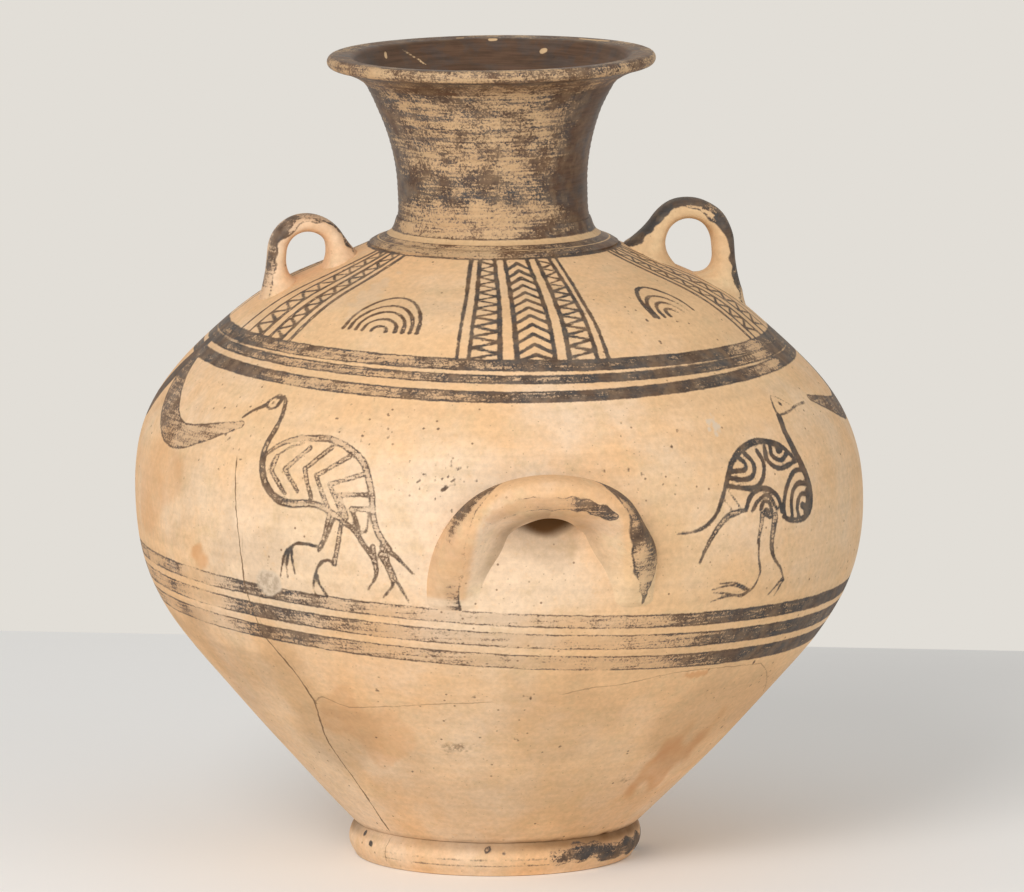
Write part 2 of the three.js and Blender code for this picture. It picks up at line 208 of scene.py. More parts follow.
def polar(points: Array) -> tuple[Array, Array, Array]:
    """Angles from the front, radii and heights of places."""
    x, y, height = points.T
    return np.degrees(np.arctan2(x, -y)), np.hypot(x, y), height


@dataclass(frozen=True)
class Wall:
    """Outer line of the turned wall, from the foot up."""

    line: Array

    @property
    def length(self) -> Array:
        """Distance along the line at each of its points."""
        return run_along(self.line)

    def radius_at(self, height: Array | float) -> Array:
        """Radius of the wall at heights."""
        return np.interp(height, self.line[:, 1], self.line[:, 0])

    def length_at(self, height: Array | float) -> Array:
        """Distance along the wall at heights."""
        return np.interp(height, self.line[:, 1], self.length)

    def slope_at(self, height: Array | float) -> tuple[Array, Array]:
        """Radius and height parts of the outward normal at heights.

        Args:
            height: The heights.

        Returns:
            The two parts of a unit vector.
        """
        rise = self.radius_at(np.asarray(height) + 0.5) - self.radius_at(np.asarray(height) - 0.5)
        size = np.sqrt(1.0 + rise * rise)
        return 1.0 / size, -rise / size

    def stretch(self, low: float, high: float, spacing: float, depth: float = 0.0) -> Array:
        """Evenly spaced rows of the wall between two heights.

        Args:
            low: Height of the first row.
            high: Height of the last row.
            spacing: Distance between rows.
            depth: How deep in the wall the rows lie.

        Returns:
            Radii and heights of the rows, going up.
        """
        ends = self.length_at(np.array([low, high]))
        steps = max(1, round((ends[1] - ends[0]) / spacing))
        heights = np.interp(np.linspace(ends[0], ends[1], steps + 1), self.length, self.line[:, 1])
        out, up = self.slope_at(heights)
        return np.stack([self.radius_at(heights) - depth * out, heights - depth * up], axis=1)

    def height_on_top(self, radius: Array | float) -> Array:
        """Heights of the upper part of the wall at radii."""
        upper = self.line[np.argmax(self.line[:, 0]):]
        return np.interp(-np.asarray(radius, float), -upper[:, 0], upper[:, 1])

    def normal(self, points: Array) -> Array:
        """Outward normals of the wall beside places.

        Args:
            points: The places.

        Returns:
            Unit vectors.
        """
        _, radius, height = polar(points)
        out, up = self.slope_at(height)
        return np.stack([points[:, 0] * out / radius, points[:, 1] * out / radius, up], axis=1)

    def place(self, angle: Array, height: Array) -> Array:
        """Places on the wall as x, y and z."""
        turn, radius = np.radians(angle), self.radius_at(height)
        return np.stack([radius * np.sin(turn), -radius * np.cos(turn), np.asarray(height, float)], axis=1)


@dataclass(frozen=True)
class JarShape:
    """Driving sizes of the jar, the same as in its solids."""

    height: float = 450.0
    foot_height: float = 19.0
    slip: float = 0.3
    foot_base: float = 78.0
    foot_top: float = 79.5
    foot_swell: float = 5.5
    foot_width: float = 22.0
    wall: float = 8.0
    floor: float = 10.0
    boss: float = 4.0
    seam_radius: float = 163.5
    belly_radius: float = 203.0
    belly_top_radius: float = 160.5
    cone_share: float = 0.275
    lower_belly_share: float = 0.2875
    upper_belly_share: float = 0.2575
    neck_wall: float = 7.0
    neck_foot_radius: float = 57.0
    neck_waist_rise: float = 26.0
    neck_waist_radius: float = 52.7
    neck_flare_rise: float = 58.0
    neck_top_radius: float = 70.0
    rim_height: float = 16.0
    rim_radius: float = 91.7
    mouth_radius: float = 78.6

    @property
    def body_foot(self) -> float:
        """Height at which the body starts."""
        return self.foot_height + self.slip

    @property
    def neck_top(self) -> float:
        """Height at which the rim starts."""
        return self.height - self.rim_height

    @property
    def neck_waist(self) -> float:
        """Height of the narrowest part of the neck."""
        return self.neck_top - self.neck_flare_rise

    @property
    def neck_foot(self) -> float:
        """Height at which the neck starts."""
        return self.neck_waist - self.neck_waist_rise

    @property
    def seam(self) -> float:
        """Height of the joint between lower body and belly."""
        return self.body_foot + self.cone_share * (self.neck_foot - self.body_foot)

    @property
    def widest(self) -> float:
        """Height of the widest level."""
        return self.seam + self.lower_belly_share * (self.neck_foot - self.body_foot)

    @property
    def belly_top(self) -> float:
        """Height of the joint between belly and shoulder."""
        return self.widest + self.upper_belly_share * (self.neck_foot - self.body_foot)

    def body_wall(self) -> Wall:
        """Outer line of the body, from the foot ring to the neck.

        Returns:
            The line, from the foot up.
        """
        foot, seam = (self.foot_top, self.body_foot), (self.seam_radius, self.seam)
        wide, top = (self.belly_radius, self.widest), (self.belly_top_radius, self.belly_top)
        neck = (self.neck_foot_radius, self.neck_foot)
        parts = [
            sweep(foot, 45, 0.35, seam, 49, 0.35),
            sweep(seam, 49, 0.4, wide, 90, 0.4)[1:],
            sweep(wide, 90, 0.4, top, 137, 0.4)[1:],
            sweep(top, 137, 0.46, neck, 154, 0.6)[1:],
        ]
        return Wall(np.vstack(parts))

    def neck_wall_line(self) -> Wall:
        """Outer line of the neck, from the shoulder to the rim.

        Returns:
            The line, from the shoulder up.
        """
        foot, waist = (self.neck_foot_radius, self.neck_foot), (self.neck_waist_radius, self.neck_waist)
        top = (self.neck_top_radius, self.neck_top)
        return Wall(np.vstack([sweep(foot, 126, 0.33, waist, 90, 0.33),
                               sweep(waist, 90, 0.33, top, 59, 0.33)[1:]]))


SHAPE = JarShape()
BODY = SHAPE.body_wall()
NECK = SHAPE.neck_wall_line()


@dataclass(frozen=True)
class HandThrown:
    """What the potter's hands and the kiln did to the true shape: a lean, a tilted rim and soft waves."""

    lean: Points = ((0, -1.0), (25, 0.6), (60, 2.0), (92, 3.0), (125, 3.7), (150, 3.3), (180, 2.2),
                    (225, 1.2), (255, 0.0), (280, -1.2), (300, -1.2), (330, -0.6), (365, -1.6), (420, -3.2),
                    (450, -2.2))
    rim_tilt: float = 0.012
    tilt_from: float = 330.0
    tilt_to: float = 440.0
    wave: float = 0.35
    wave_length: float = 95.0

    def settle(self, points: Array) -> Array:
        """Moves true points to where they are on the fired jar.

        Args:
            points: True places in millimetres.

        Returns:
            The places on the fired jar.
        """
        moved = points.copy()
        radius = np.maximum(np.hypot(points[:, 0], points[:, 1]), 1.0)
        swell = self.wave * ripple(points, self.wave_length, 7) * smooth(points[:, 2], 0.0, 30.0)
        moved[:, :2] += points[:, :2] * (swell / radius)[:, None]
        moved[:, 0] += table(points[:, 2], self.lean)
        tilted = smooth(points[:, 2], self.tilt_from, self.tilt_to)
        moved[:, 2] += self.rim_tilt * points[:, 0] * tilted
        return moved


HANDS = HandThrown()


@dataclass(frozen=True)
class Stroke:
    """One stroke of the brush on the wall.

    Its points are angles and heights; its width changes evenly along them.
    """

    points: Points
    widths: tuple[float, ...] = (1.6,)
    wear: float = 0.3
    tone: float = 0.5
    rounded: bool = True
    end_wear: float | None = None

    def path(self, wall: Wall) -> tuple[Array, Array]:
        """Places along the stroke and half its width at each of them.

        Args:
            wall: Wall that carries the stroke.

        Returns:
            The places and the half widths.
        """
        marks = np.array(self.points, float)
        if len(marks) == 1:
            marks = np.vstack([marks, marks + [0.01, 0.01]])
        steps = ROUND_STEPS if self.rounded and len(marks) > 2 else STRAIGHT_STEPS
        t = np.linspace(0, len(marks) - 1, steps * (len(marks) - 1) + 1)
        flat = smooth_through(marks, t) if self.rounded else straight_through(marks, t)
        spread = np.linspace(0, 1, len(self.widths)) if len(self.widths) > 1 else np.array([0.0])
        half = np.interp(t / t[-1], spread, np.array(self.widths)) / 2
        return wall.place(flat[:, 0], flat[:, 1]), half

    def turned(self, by: float) -> Stroke:
        """The same stroke further round the jar."""
        return replace(self, points=tuple((a + by, z) for a, z in self.points))


def straight_through(marks: Array, t: Array) -> Array:
    """Points on the straight lines between marks."""
    knots = np.arange(len(marks))
    return np.stack([np.interp(t, knots, marks[:, 0]), np.interp(t, knots, marks[:, 1])], axis=1)


def smooth_through(marks: Array, t: Array) -> Array:
    """Points on a smooth curve that passes through marks.

    Args:
        marks: Points that the curve passes through.
        t: Places along it, counted in marks.

    Returns:
        Points at those places.
    """
    padded = np.vstack([2 * marks[0] - marks[1], marks, 2 * marks[-1] - marks[-2]])
    span = np.minimum(t.astype(int), len(marks) - 2)
    u = (t - span)[:, None]
    p0, p1, p2, p3 = (padded[span + k] for k in range(4))
    bend, twist = 2 * p0 - 5 * p1 + 4 * p2 - p3, 3 * p1 - p0 - 3 * p2 + p3
    return 0.5 * (2 * p1 + (p2 - p0) * u + bend * u**2 + twist * u**3)


def near_segments(points: Array, path: Array, reach: float) -> Array:
    """Indices of the points within reach of a path's box."""
    low, high = path.min(axis=0) - reach, path.max(axis=0) + reach
    return np.flatnonzero(np.all((points > low) & (points < high), axis=1))


@dataclass
class Brushwork:
    """Painted strokes on a wall, and the distance of any place from them."""

    wall: Wall
    strokes: list[Stroke] = field(default_factory=list)
    reach: float = 6.0

    def draw(self, points: Array, layers: Layers) -> None:
        """Adds the strokes to the paint layers.

        Args:
            points: True places of the vertices.
            layers: Layers of the piece, changed in place.
        """
        for stroke in self.strokes:
            path, half = stroke.path(self.wall)
            close = near_segments(points, path, self.reach + half.max())
            if not len(close):
                continue
            best, share = np.full(len(close), FAR), np.zeros(len(close))
            here = points[close]
            for i, (a, b, ha, hb) in enumerate(zip(path[:-1], path[1:], half[:-1], half[1:])):
                t, off = from_segment(here, a, b)
                gap = np.linalg.norm(off, axis=1) - (ha + (hb - ha) * t)
                share = np.where(gap < best, (i + t) / (len(path) - 1), share)
                best = np.minimum(best, gap)
            nearer = best < layers[Layer.PAINT][close]
            chosen = close[nearer]
            end = stroke.wear if stroke.end_wear is None else stroke.end_wear
            layers[Layer.PAINT][chosen] = best[nearer]
            layers[Layer.WEAR][chosen] = stroke.wear + (end - stroke.wear) * share[nearer]
            layers[Layer.TONE][chosen] = stroke.tone


@dataclass(frozen=True)
class Band:
    """Painted band round the jar, a little askew."""

    top: float
    bottom: float
    tilt: float = 0.0
    sag: float = 0.0
    wear: Points = ((-90, 0.3), (90, 0.3))
    tone: float = 0.4

    def draw(self, wall: Wall, angle: Array, height: Array, layers: Layers) -> None:
        """Adds the band to the paint layers.

        Args:
            wall: Wall that carries the band.
            angle: Angles of the vertices.
            height: Heights of the vertices.
            layers: Layers of the piece, changed in place.
        """
        turn = np.radians(angle)
        shift = -self.tilt * np.sin(turn) + self.sag * np.sin(turn) ** 2
        here = wall.length_at(height)
        gap = np.maximum(here - wall.length_at(self.top + shift),
                         wall.length_at(self.bottom + shift) - here)
        nearer = gap < layers[Layer.PAINT]
        layers[Layer.PAINT][nearer] = gap[nearer]
        layers[Layer.WEAR][nearer] = round_trip(angle, self.wear)[nearer]
        layers[Layer.TONE][nearer] = self.tone


@dataclass(frozen=True)
class Crack:
    """Crack or hairline in the wall."""

    points: Points
    strength: float = 1.0
    reach: float = 4.0
    fade: float = 5.0

    def draw(self, wall: Wall, points: Array, layers: Layers) -> None:
        """Adds the crack's distance, with a sign for its two sides, and its strength.

        Args:
            wall: Wall that is cracked.
            points: True places of the vertices.
            layers: Layers of the piece, changed in place.
        """
        path, _ = Stroke(self.points).path(wall)
        close = near_segments(points, path, self.reach)
        if not len(close):
            return
        here = points[close]
        best, side = np.full(len(close), FAR), np.ones(len(close))
        ends = np.zeros(len(close))
        run = run_along(path)
        outward = here * [1, 1, 0]
        for i, (a, b) in enumerate(zip(path[:-1], path[1:])):
            t, off = from_segment(here, a, b)
            gap = np.linalg.norm(off, axis=1)
            nearer = gap < best
            best = np.where(nearer, gap, best)
            side = np.where(nearer, np.sign(np.sum(np.cross(b - a, outward) * off, axis=1)), side)
            place = run[i] + t * np.linalg.norm(b - a)
            ends = np.where(nearer, np.minimum(place, run[-1] - place), ends)
        inside = (best < self.reach) & (best < np.abs(layers[Layer.CRACK][close]))
        chosen = close[inside]
        layers[Layer.CRACK][chosen] = (best * np.where(side == 0, 1, side))[inside]
        near = 1 - smooth(best[inside], self.reach * 0.45, self.reach * 0.9)
        layers[Layer.OPEN][chosen] = self.strength * near * smooth(ends[inside], 0.0, self.fade)


@dataclass(frozen=True)
class Patch:
    """Stain, fill, scuff or painted shade: a soft oval on the wall."""

    layer: Layer
    angle: float
    height: float
    wide: float
    tall: float
    strength: float = 1.0
    ragged: float = 0.35
    edge: Place = (0.6, 1.15)

    def draw(self, wall: Wall, points: Array, layers: Layers) -> None:
        """Adds the patch to its layer.

        Args:
            wall: Wall that carries the patch.
            points: True places of the vertices.
            layers: Layers of the piece, changed in place.
        """
        away = points - wall.place(np.array([self.angle]), np.array([self.height]))
        across = away @ np.array([*direction(self.angle), 0.0])
        up = np.sign(away[:, 2]) * np.sqrt(np.maximum((away**2).sum(axis=1) - across**2, 0.0))
        far = np.sqrt((across / self.wide) ** 2 + (up / self.tall) ** 2)
        far += self.ragged * ripple(points, min(self.wide, self.tall) * 1.3, 31)
        mask = self.strength * (1 - smooth(far, *self.edge))
        layers[self.layer][:] = np.maximum(layers[self.layer], mask)


def local(anchor: Place, marks: Points, span: float = 200.0) -> tuple[Place, ...]:
    """Places of marks given in millimetres to the right of an anchor and above it."""
    per_mm = math.degrees(1.0 / span)
    return tuple((anchor[0] + u * per_mm, anchor[1] + v) for u, v in marks)


@dataclass(frozen=True)
class Ornament:
    """A painted motif that knows its strokes."""

    wear: float = 0.3
    tone: float = 0.5
    anchor: Place = (0.0, 0.0)

    def line(self, marks: Points, *widths: float, rounded: bool = True, wear: float | None = None,
             end: float | None = None) -> Stroke:
        """A stroke in the motif's own paint, worn evenly or more towards its end."""
        worn = self.wear if wear is None else wear
        return Stroke(tuple(marks), widths or (1.6,), worn, self.tone, rounded, end)

    def near(self, marks: Points, *widths: float, **how: float | bool) -> Stroke:
        """A stroke through marks in millimetres to the right of the anchor and above it."""
        return self.line(local(self.anchor, marks), *widths, **how)

    def strokes(self) -> list[Stroke]:
        """Strokes of the motif."""
        raise NotImplementedError


@dataclass(frozen=True)
class StripedBird(Ornament):
    """Long-legged bird that faces left, its body filled with nested chevrons."""

    anchor: Place = (-37.0, 225.0)
    wear: float = 0.68
    tone: float = 0.55

    def strokes(self) -> list[Stroke]:
        """Strokes of the bird.

        Returns:
            The strokes, in the order in which they are drawn.
        """
        chevrons = (
            ((-28, 22), (-30, 14), (-19, 3)), ((-7, 28), (-21, 16), (-11, 5)), ((7, 29), (-8, 17), (-2, 2)),
            ((19, 25), (0, 14), (9, -3)), ((30, 17), (9, 10), (18, -6)), ((34, 6), (15, 5), (20, -7)),
            ((35, -2), (23, -2), (27, -12)),
        )
        toes = (
            ((2, -24), (-6, -23), (-12, -24), (-18, -29), (-21, -36), (-23, -43)),
            ((-16, -28), (-18, -36), (-18, -43)), ((-14, -26), (-14, -33), (-13, -40)),
            ((13, -33), (8, -31), (3, -34), (0, -40), (-2, -47), (-1, -52)), ((1, -40), (2, -45), (7, -53)),
        )
        tail = (
            ((35, -22), (36, -31), (36, -38), (31, -46)), ((39, -26), (44, -36), (45, -43), (39, -50)),
            ((40, -22), (46, -37), (53, -51)), ((42, -22), (49, -28), (57, -36)),
            ((38, -14), (44, -24), (50, -29)),
        )
        made = [
            self.near(((-64, 39), (-58, 43), (-51, 46)), 1.6, 2.6, wear=0.4),
            self.near(((-50, 47), (-46.5, 50.5), (-42.5, 52), (-39.5, 50), (-40.5, 46.5), (-45.5, 45),
                       (-50, 46.5)), 1.6),
            self.near(((-44, 51), (-40, 50.5), (-41, 47)), 2.8, wear=0.2),
            self.near(((-45.5, 48), (-44.5, 48)), 1.4),
            self.near(((-39, 51.5), (-36.3, 49.5), (-34.3, 45), (-34, 40), (-35, 35), (-37, 29), (-38, 23),
                       (-37, 16)), 2.4, 2.8, 3.4, 4.4, wear=0.66, end=0.5),
            self.near(((-38, 23), (-37, 16), (-34, 9), (-29, 3), (-22, -1), (-13, -2), (-3, -1), (4, -2),
                       (11, -5), (18, -9)), 4.4, 4.8, 4.6, 4.0, 3.2, wear=0.38, end=0.72),
            self.near(((-37, 22), (-28, 28), (-17, 32), (-5, 33), (6, 33), (16, 30), (24, 26), (29, 21),
                       (32, 14), (34, 7), (35, -1), (36, -8), (39, -16), (44, -23)), 2.4, 4.0, 4.2, 3.6,
                       3.4),
            self.near(((-32, 15), (-29, 21), (-21, 27), (-12, 30)), 1.2),
            self.near(((17, -9), (24, -13), (29, -20), (34, -27), (36, -33)), 3.0, 3.4, 2.4),
            self.near(((10, -5), (7, -17), (3, -26)), 3.0, 2.2),
            self.near(((13, -7), (9, -17), (4, -26)), 1.2),
            self.near(((17, -9), (15, -21), (12, -33)), 2.4, 3.2),
            self.near(((24, -3), (25, -11), (31, -14), (33, -4)), 1.2),
        ]
        made += [self.near(v, 2.7, rounded=False, wear=0.72) for v in chevrons]
        made += [self.near(v, 1.9, 1.5, 1.0, wear=0.22) for v in toes]
        made += [self.near(v, 3.2, 2.4, 1.0, wear=0.68) for v in tail]
        return made


@dataclass(frozen=True)
class ScrollBird(Ornament):
    """Long-legged bird that faces right, its body filled with sets of arcs."""

    anchor: Place = (38.0, 225.0)
    wear: float = 0.24
    tone: float = 0.3

    def strokes(self) -> list[Stroke]:
        """Strokes of the bird.

        Returns:
            The strokes, in the order in which they are drawn.
        """
        arcs = (
            ((5, 22), (7, 15), (3, 7), (-6, 3), (-25, 6)),
            ((-5, 21), (-1, 16), (-3, 10), (-10, 8), (-22, 10)),
            ((-10, 19), (-7, 16), (-9, 13), (-19, 13)),
            ((12, 23), (11, 16), (19, 11), (34, 13)), ((17, 23), (16, 18), (22, 15), (29, 18)),
            ((42, 7), (31, 8), (21, 0), (17, -10), (18, -16)), ((42, 0), (31, 1), (24, -6), (24, -16)),
            ((41, -6), (33, -5), (29, -11), (30, -17)),
            ((-13, -8), (-8, -1), (3, 2), (12, -3), (15, -12)), ((-8, -9), (-3, -4), (5, -2), (11, -10)),
            ((-2, -9), (1, -5), (5, -6), (7, -11)),
        )
        toes = (
            ((-9, -54), (-22, -49), (-36, -50)), ((-11, -55), (-26, -55), (-36, -57)),
            ((-9, -53), (-20, -48), (-31, -47)), ((-14, -56), (-27, -53), (-35, -52)),
            ((17, -50), (12, -54), (7, -58)), ((18, -51), (15, -56), (13, -59)),
        )
        made = [
            self.near(((43, 46.5), (40.5, 43.5), (38.5, 40), (38.5, 36.5)), 0.9, 1.8, wear=0.5),
            self.near(((43, 46.5), (48, 45.5), (53, 43), (57, 40.5)), 0.7, wear=0.66),
            self.near(((40, 36.8), (47, 37.2), (53, 37.8), (61, 39), (69, 39.5), (77, 39.5)), 1.6, 1.3,
                      wear=0.5, end=0.66),
            self.near(((47, 42.2), (48, 41.8)), 2.0),
            self.near(((38.5, 36.5), (36, 29.5), (36.2, 22), (38, 15), (40.5, 7), (42.5, 0), (43, -8),
                       (41, -14), (35, -18), (24, -18), (16, -15)), 4.4, 5.0, 5.4, 4.6, 3.6, 2.6),
            self.near(((40.5, -4), (40, -10), (36.5, -15)), 5.0, 6.0, 4.0),
            self.near(((35, 13), (30, 19), (24, 23), (13, 26), (3, 26), (-8, 23), (-16, 18), (-21, 12),
                       (-26, 4), (-30, -3), (-34, -9), (-39, -13), (-45, -16), (-52, -17), (-59, -17)),
                      2.4, 3.8, 4.0, 3.2, 2.4, 2.0, 1.0, wear=0.18, end=0.52),
            self.near(((-13, -8), (-20, -9), (-27, -11), (-34, -17), (-38, -22), (-42, -28), (-45, -34)),
                      2.2, 3.6, 3.0, 2.6, 1.8, wear=0.5, end=0.56),
            self.near(((22, 20), (24, 20)), 4.0),
            self.near(((34, -11), (36, -12)), 4.4),
            self.near(((2, -11), (5, -13)), 4.6, wear=0.4),
            self.near(((-24, 4), (-17, -6)), 0.9, wear=0.45),
            self.near(((-28, 0), (-22, -8)), 0.9, wear=0.45),
            self.near(((-1, -12), (-3, -20), (-5, -27)), 3.8, 1.8, wear=0.56),
            self.near(((-4, -26), (-4, -35), (-2, -44), (-6, -52), (-14, -56)), 1.5, 1.1, wear=0.62),
            self.near(((9, -14), (6, -28), (8, -36), (15, -44), (19, -51)), 4.8, 3.2, 1.8, 1.6, wear=0.52),
        ]
        made += [self.near(v, 2.9) for v in arcs[:9]]
        made += [self.near(v, 2.4, wear=0.5) for v in arcs[9:]]
        made += [self.near(v, 1.3, 0.7, wear=0.62) for v in toes]
        return made


@dataclass(frozen=True)
class Hook(Ornament):
    """Broad stroke that drops from the shoulder band and curls back to a point."""

    side: float = -1.0
    shift: float = 0.0
    lift: float = 0.0
    wear: float = 0.38
    tip_wear: float = 0.74
    tone: float = 0.6

    def strokes(self) -> list[Stroke]:
        """The one stroke of the hook, most worn at its tip.

        Returns:
            The strokes, in the order in which they are drawn.
        """
        marks = ((89.5, 287), (87.2, 278), (83.5, 268), (79.5, 259), (75.5, 251.5), (71, 248.5), (66, 251),
                 (60.5, 255.5), (55, 260.5))
        widths = (14.0, 17.0, 19.0, 20.0, 19.0, 16.0, 13.0, 9.5, 4.5)
        path = [(self.side * (angle + self.shift * min(i / 4, 1.0)), height + self.lift)
                for i, (angle, height) in enumerate(marks)]
        return [self.line(path, *widths, end=self.tip_wear)]


@dataclass(frozen=True)
class ArcRainbow(Ornament):
    """Nested half rings that stand on the shoulder."""

    angle: float = -35.0
    height: float = 311.0
    reaches: tuple[Place, ...] = ((23, 15), (19, 11.5), (14.5, 8.8), (10, 5.5), (4.5, 2.2))
    lean: float = 0.0
    width: float = 2.0
    dots: bool = True
    dot: float = 2.9
    end_wear: float | None = None
    steps: int = 8

    def strokes(self) -> list[Stroke]:
        """Half rings, with dots at one end where the brush paused.

        Returns:
            The strokes, in the order in which they are drawn.
        """
        made = []
        per_mm = math.degrees(1.0 / float(BODY.radius_at(self.height)))
        turns = np.linspace(math.pi, 0.0, self.steps + 1)
        along, up = np.cos(turns), np.sin(turns)
        last = 1.25 if self.dots else 0.6
        for half, rise in self.reaches:
            angles = self.angle + per_mm * (half * along * (1 + 0.12 * up) + self.lean * up)
            marks = list(zip(angles, self.height + rise * up - self.lean * 0.1 * along))
            made.append(self.line(marks, self.width * 1.1, self.width * 0.8, self.width * last,
                                  end=self.end_wear))
            if self.dots:
                made.append(self.line([marks[-1]], self.dot, wear=0.1))
        return made


@dataclass(frozen=True)
class Flecks(Ornament):
    """Drops that fell from the brush."""

    spread: Place = (15.0, 15.0)
    count: int = 20
    seed: int = 1
    wear: float = 0.3
    tone: float = 0.9

    def strokes(self) -> list[Stroke]:
        """One short dab for each drop, scattered round the middle.

        Returns:
            The strokes, in the order in which they are drawn.
        """
        rng = np.random.default_rng(self.seed)
        places = rng.normal(size=(self.count, 2)) * self.spread * 0.6
        sizes = np.minimum(rng.gamma(2.0, 0.3, self.count) + 0.35, 1.5)
        made = []
        for (u, v), size, slant in zip(places, sizes, rng.normal(size=(self.count, 2)) * 0.6):
            made.append(self.near(((u, v), (u + slant[0], v + slant[1])), size))
        return made


@dataclass(frozen=True)
class ShoulderPanel(Ornament):
    """Upright panel on the shoulder: ruled lines, zigzag columns and a column of chevrons.

    Each line is given by its angle at the top, the middle and the foot of the panel.
    """

    middle: float = 0.0
    lines: tuple[Three, ...] = ()
    levels: Three = (0.0, 0.45, 1.0)
    zigzags: tuple[tuple[int, int], ...] = ()
    chevrons: tuple[tuple[int, int], ...] = ()
    top: float = 343.5
    foot: float = 298.5
    teeth: int = 11
    widths: tuple[tuple[float, ...], ...] = ((2.6, 2.0), (2.4, 2.2), (2.2, 3.0), (2.2, 3.2), (2.2, 2.6),
                                             (2.4, 3.0), (2.2, 2.8), (1.8, 2.6))
    mirrored: bool = False

    def angle_on(self, line: int, share: float) -> float:
        """Angle of a line at a share of the way down."""
        angle = np.interp(share, self.levels, self.lines[line])
        return self.middle + (-angle if self.mirrored else angle)

    def height_at(self, share: float) -> float:
        """Height at a share of the way down along the wall."""
        ends = BODY.length_at(np.array([self.top, self.foot]))
        return float(np.interp(ends[0] + share * (ends[1] - ends[0]), BODY.length, BODY.line[:, 1]))

    def strokes(self) -> list[Stroke]:
        """Lines, zigzags and chevrons of the panel.

        Returns:
            The strokes, in the order in which they are drawn.
        """
        made = []
        for k in range(len(self.lines)):
            marks = [(self.angle_on(k, s), self.height_at(s)) for s in (0.0, 0.25, 0.5, 0.75, 1.0)]
            made.append(self.line(marks, *self.widths[k]))
        for left, right in self.zigzags:
            ticks = np.linspace(0.02, 0.98, 2 * self.teeth + 1)
            marks = [(self.angle_on(right if i % 2 else left, s), self.height_at(s))
                     for i, s in enumerate(ticks)]
            made.append(self.line(marks, 1.5, 1.9, rounded=False))
        for left, right in self.chevrons:
            for share in np.linspace(0.06, 0.97, self.teeth + 1):
                low = min(share + 0.06, 1.0)
                apex = (self.angle_on(left, share) + self.angle_on(right, share)) / 2
                marks = [(self.angle_on(left, low), self.height_at(low)),
                         (apex, self.height_at(share - 0.02)),
                         (self.angle_on(right, low), self.height_at(low))]
                made.append(self.line(marks, 2.0, 2.6, 2.0, rounded=False))
        return made


FRONT_LINES = ((-17.5, -15.5, -15.0), (-13.5, -12.5, -12.5), (-7.0, -6.0, -6.0), (-2.5, -2.5, -2.5),
               (7.5, 6.5, 5.5), (12.0, 10.0, 8.5), (18.0, 16.0, 14.5), (21.5, 18.0, 17.0))
SIDE_LINES = ((-72.5, -76.5, -78.5), (-69.0, -72.0, -73.5), (-63.5, -66.0, -67.5), (-60.0, -62.5, -64.0),
              (-54.5, -58.0, -59.5), (-51.0, -55.0, -57.0))


def painted_motifs() -> list[Stroke]:
    """Strokes of every motif on the body; what the front shows is repeated on the back.

    Returns:
        The strokes, the front's first.
    """
    motifs: list[Ornament] = [
        StripedBird(),
        ScrollBird(),
        Hook(),
        Hook(side=1.0, shift=8.5, lift=5.0, wear=0.0, tip_wear=0.55),
        ArcRainbow(wear=0.52, tone=0.8),
        ArcRainbow(angle=42.6, height=315.6, reaches=((16.8, 12.3),), lean=-1.0, width=2.8, dots=False,
                   wear=0.28, tone=0.6, end_wear=0.5),
        ArcRainbow(angle=42.0, height=315.0, reaches=((13.5, 9.0), (8.8, 6.0), (4.2, 3.0)), lean=-1.5,
                   width=2.5, dots=False, wear=0.26, tone=0.6, end_wear=0.95),
        Flecks(anchor=(-15.0, 242.0), spread=(13.0, 12.0), count=36, seed=3),
        Flecks(anchor=(-27.0, 262.0), spread=(26.0, 10.0), count=12, seed=4),
        Flecks(anchor=(20.0, 246.0), spread=(36.0, 16.0), count=16, seed=5),
        Flecks(anchor=(-58.0, 250.0), spread=(30.0, 22.0), count=18, seed=6),
        Flecks(anchor=(-12.0, 90.0), spread=(60.0, 30.0), count=36, seed=8),
        Flecks(anchor=(50.0, 100.0), spread=(50.0, 30.0), count=20, seed=9),
        Flecks(anchor=(30.0, 318.0), spread=(26.0, 12.0), count=10, seed=10),
        ShoulderPanel(lines=FRONT_LINES, zigzags=((1, 2), (5, 6)), chevrons=((3, 4),), wear=0.3, tone=0.45),
    ]
    for mirrored in (False, True):
        motifs.append(ShoulderPanel(lines=SIDE_LINES, zigzags=((1, 2), (3, 4)), wear=0.48, tone=0.7,
                                    teeth=9, middle=4.0 if mirrored else 0.0, mirrored=mirrored, top=344.5))
    front = [s for m in motifs for s in m.strokes()]
    return front + [s.turned(180.0) for s in front]


SHOULDER_WEAR = ((-90, 0.35), (-66, 0.42), (-50, 0.58), (-35, 0.6), (-18, 0.52), (-6, 0.44), (8, 0.38),
                 (20, 0.32), (45, 0.34), (53, 0.58), (60, 0.65), (65, 0.36), (90, 0.3))
LOW_WEAR = ((-90, 0.8), (-80, 0.75), (-73, 0.55), (-66, 0.85), (-58, 0.75), (-54, 0.5), (-42, 0.56),
            (-32, 0.66), (-22, 0.72), (-5, 0.75), (14, 0.72), (24, 0.58), (32, 0.42), (50, 0.32),
            (75, 0.22), (90, 0.35))
SHOULDER_BANDS = (
    Band(299.2, 293.6, 2.7, 1.0, SHOULDER_WEAR, 0.35),
    Band(291.9, 287.6, 2.1, 2.7, SHOULDER_WEAR, 0.35),
    Band(284.2, 278.6, 0.9, 5.0, SHOULDER_WEAR, 0.4),
)
LOW_BANDS = (
    Band(166.5, 158.8, 10.4, 3.5, LOW_WEAR, 0.3),
    Band(155.0, 146.3, 10.4, 3.5, LOW_WEAR, 0.3),
    Band(142.2, 133.6, 10.4, 3.5, LOW_WEAR, 0.35),
)
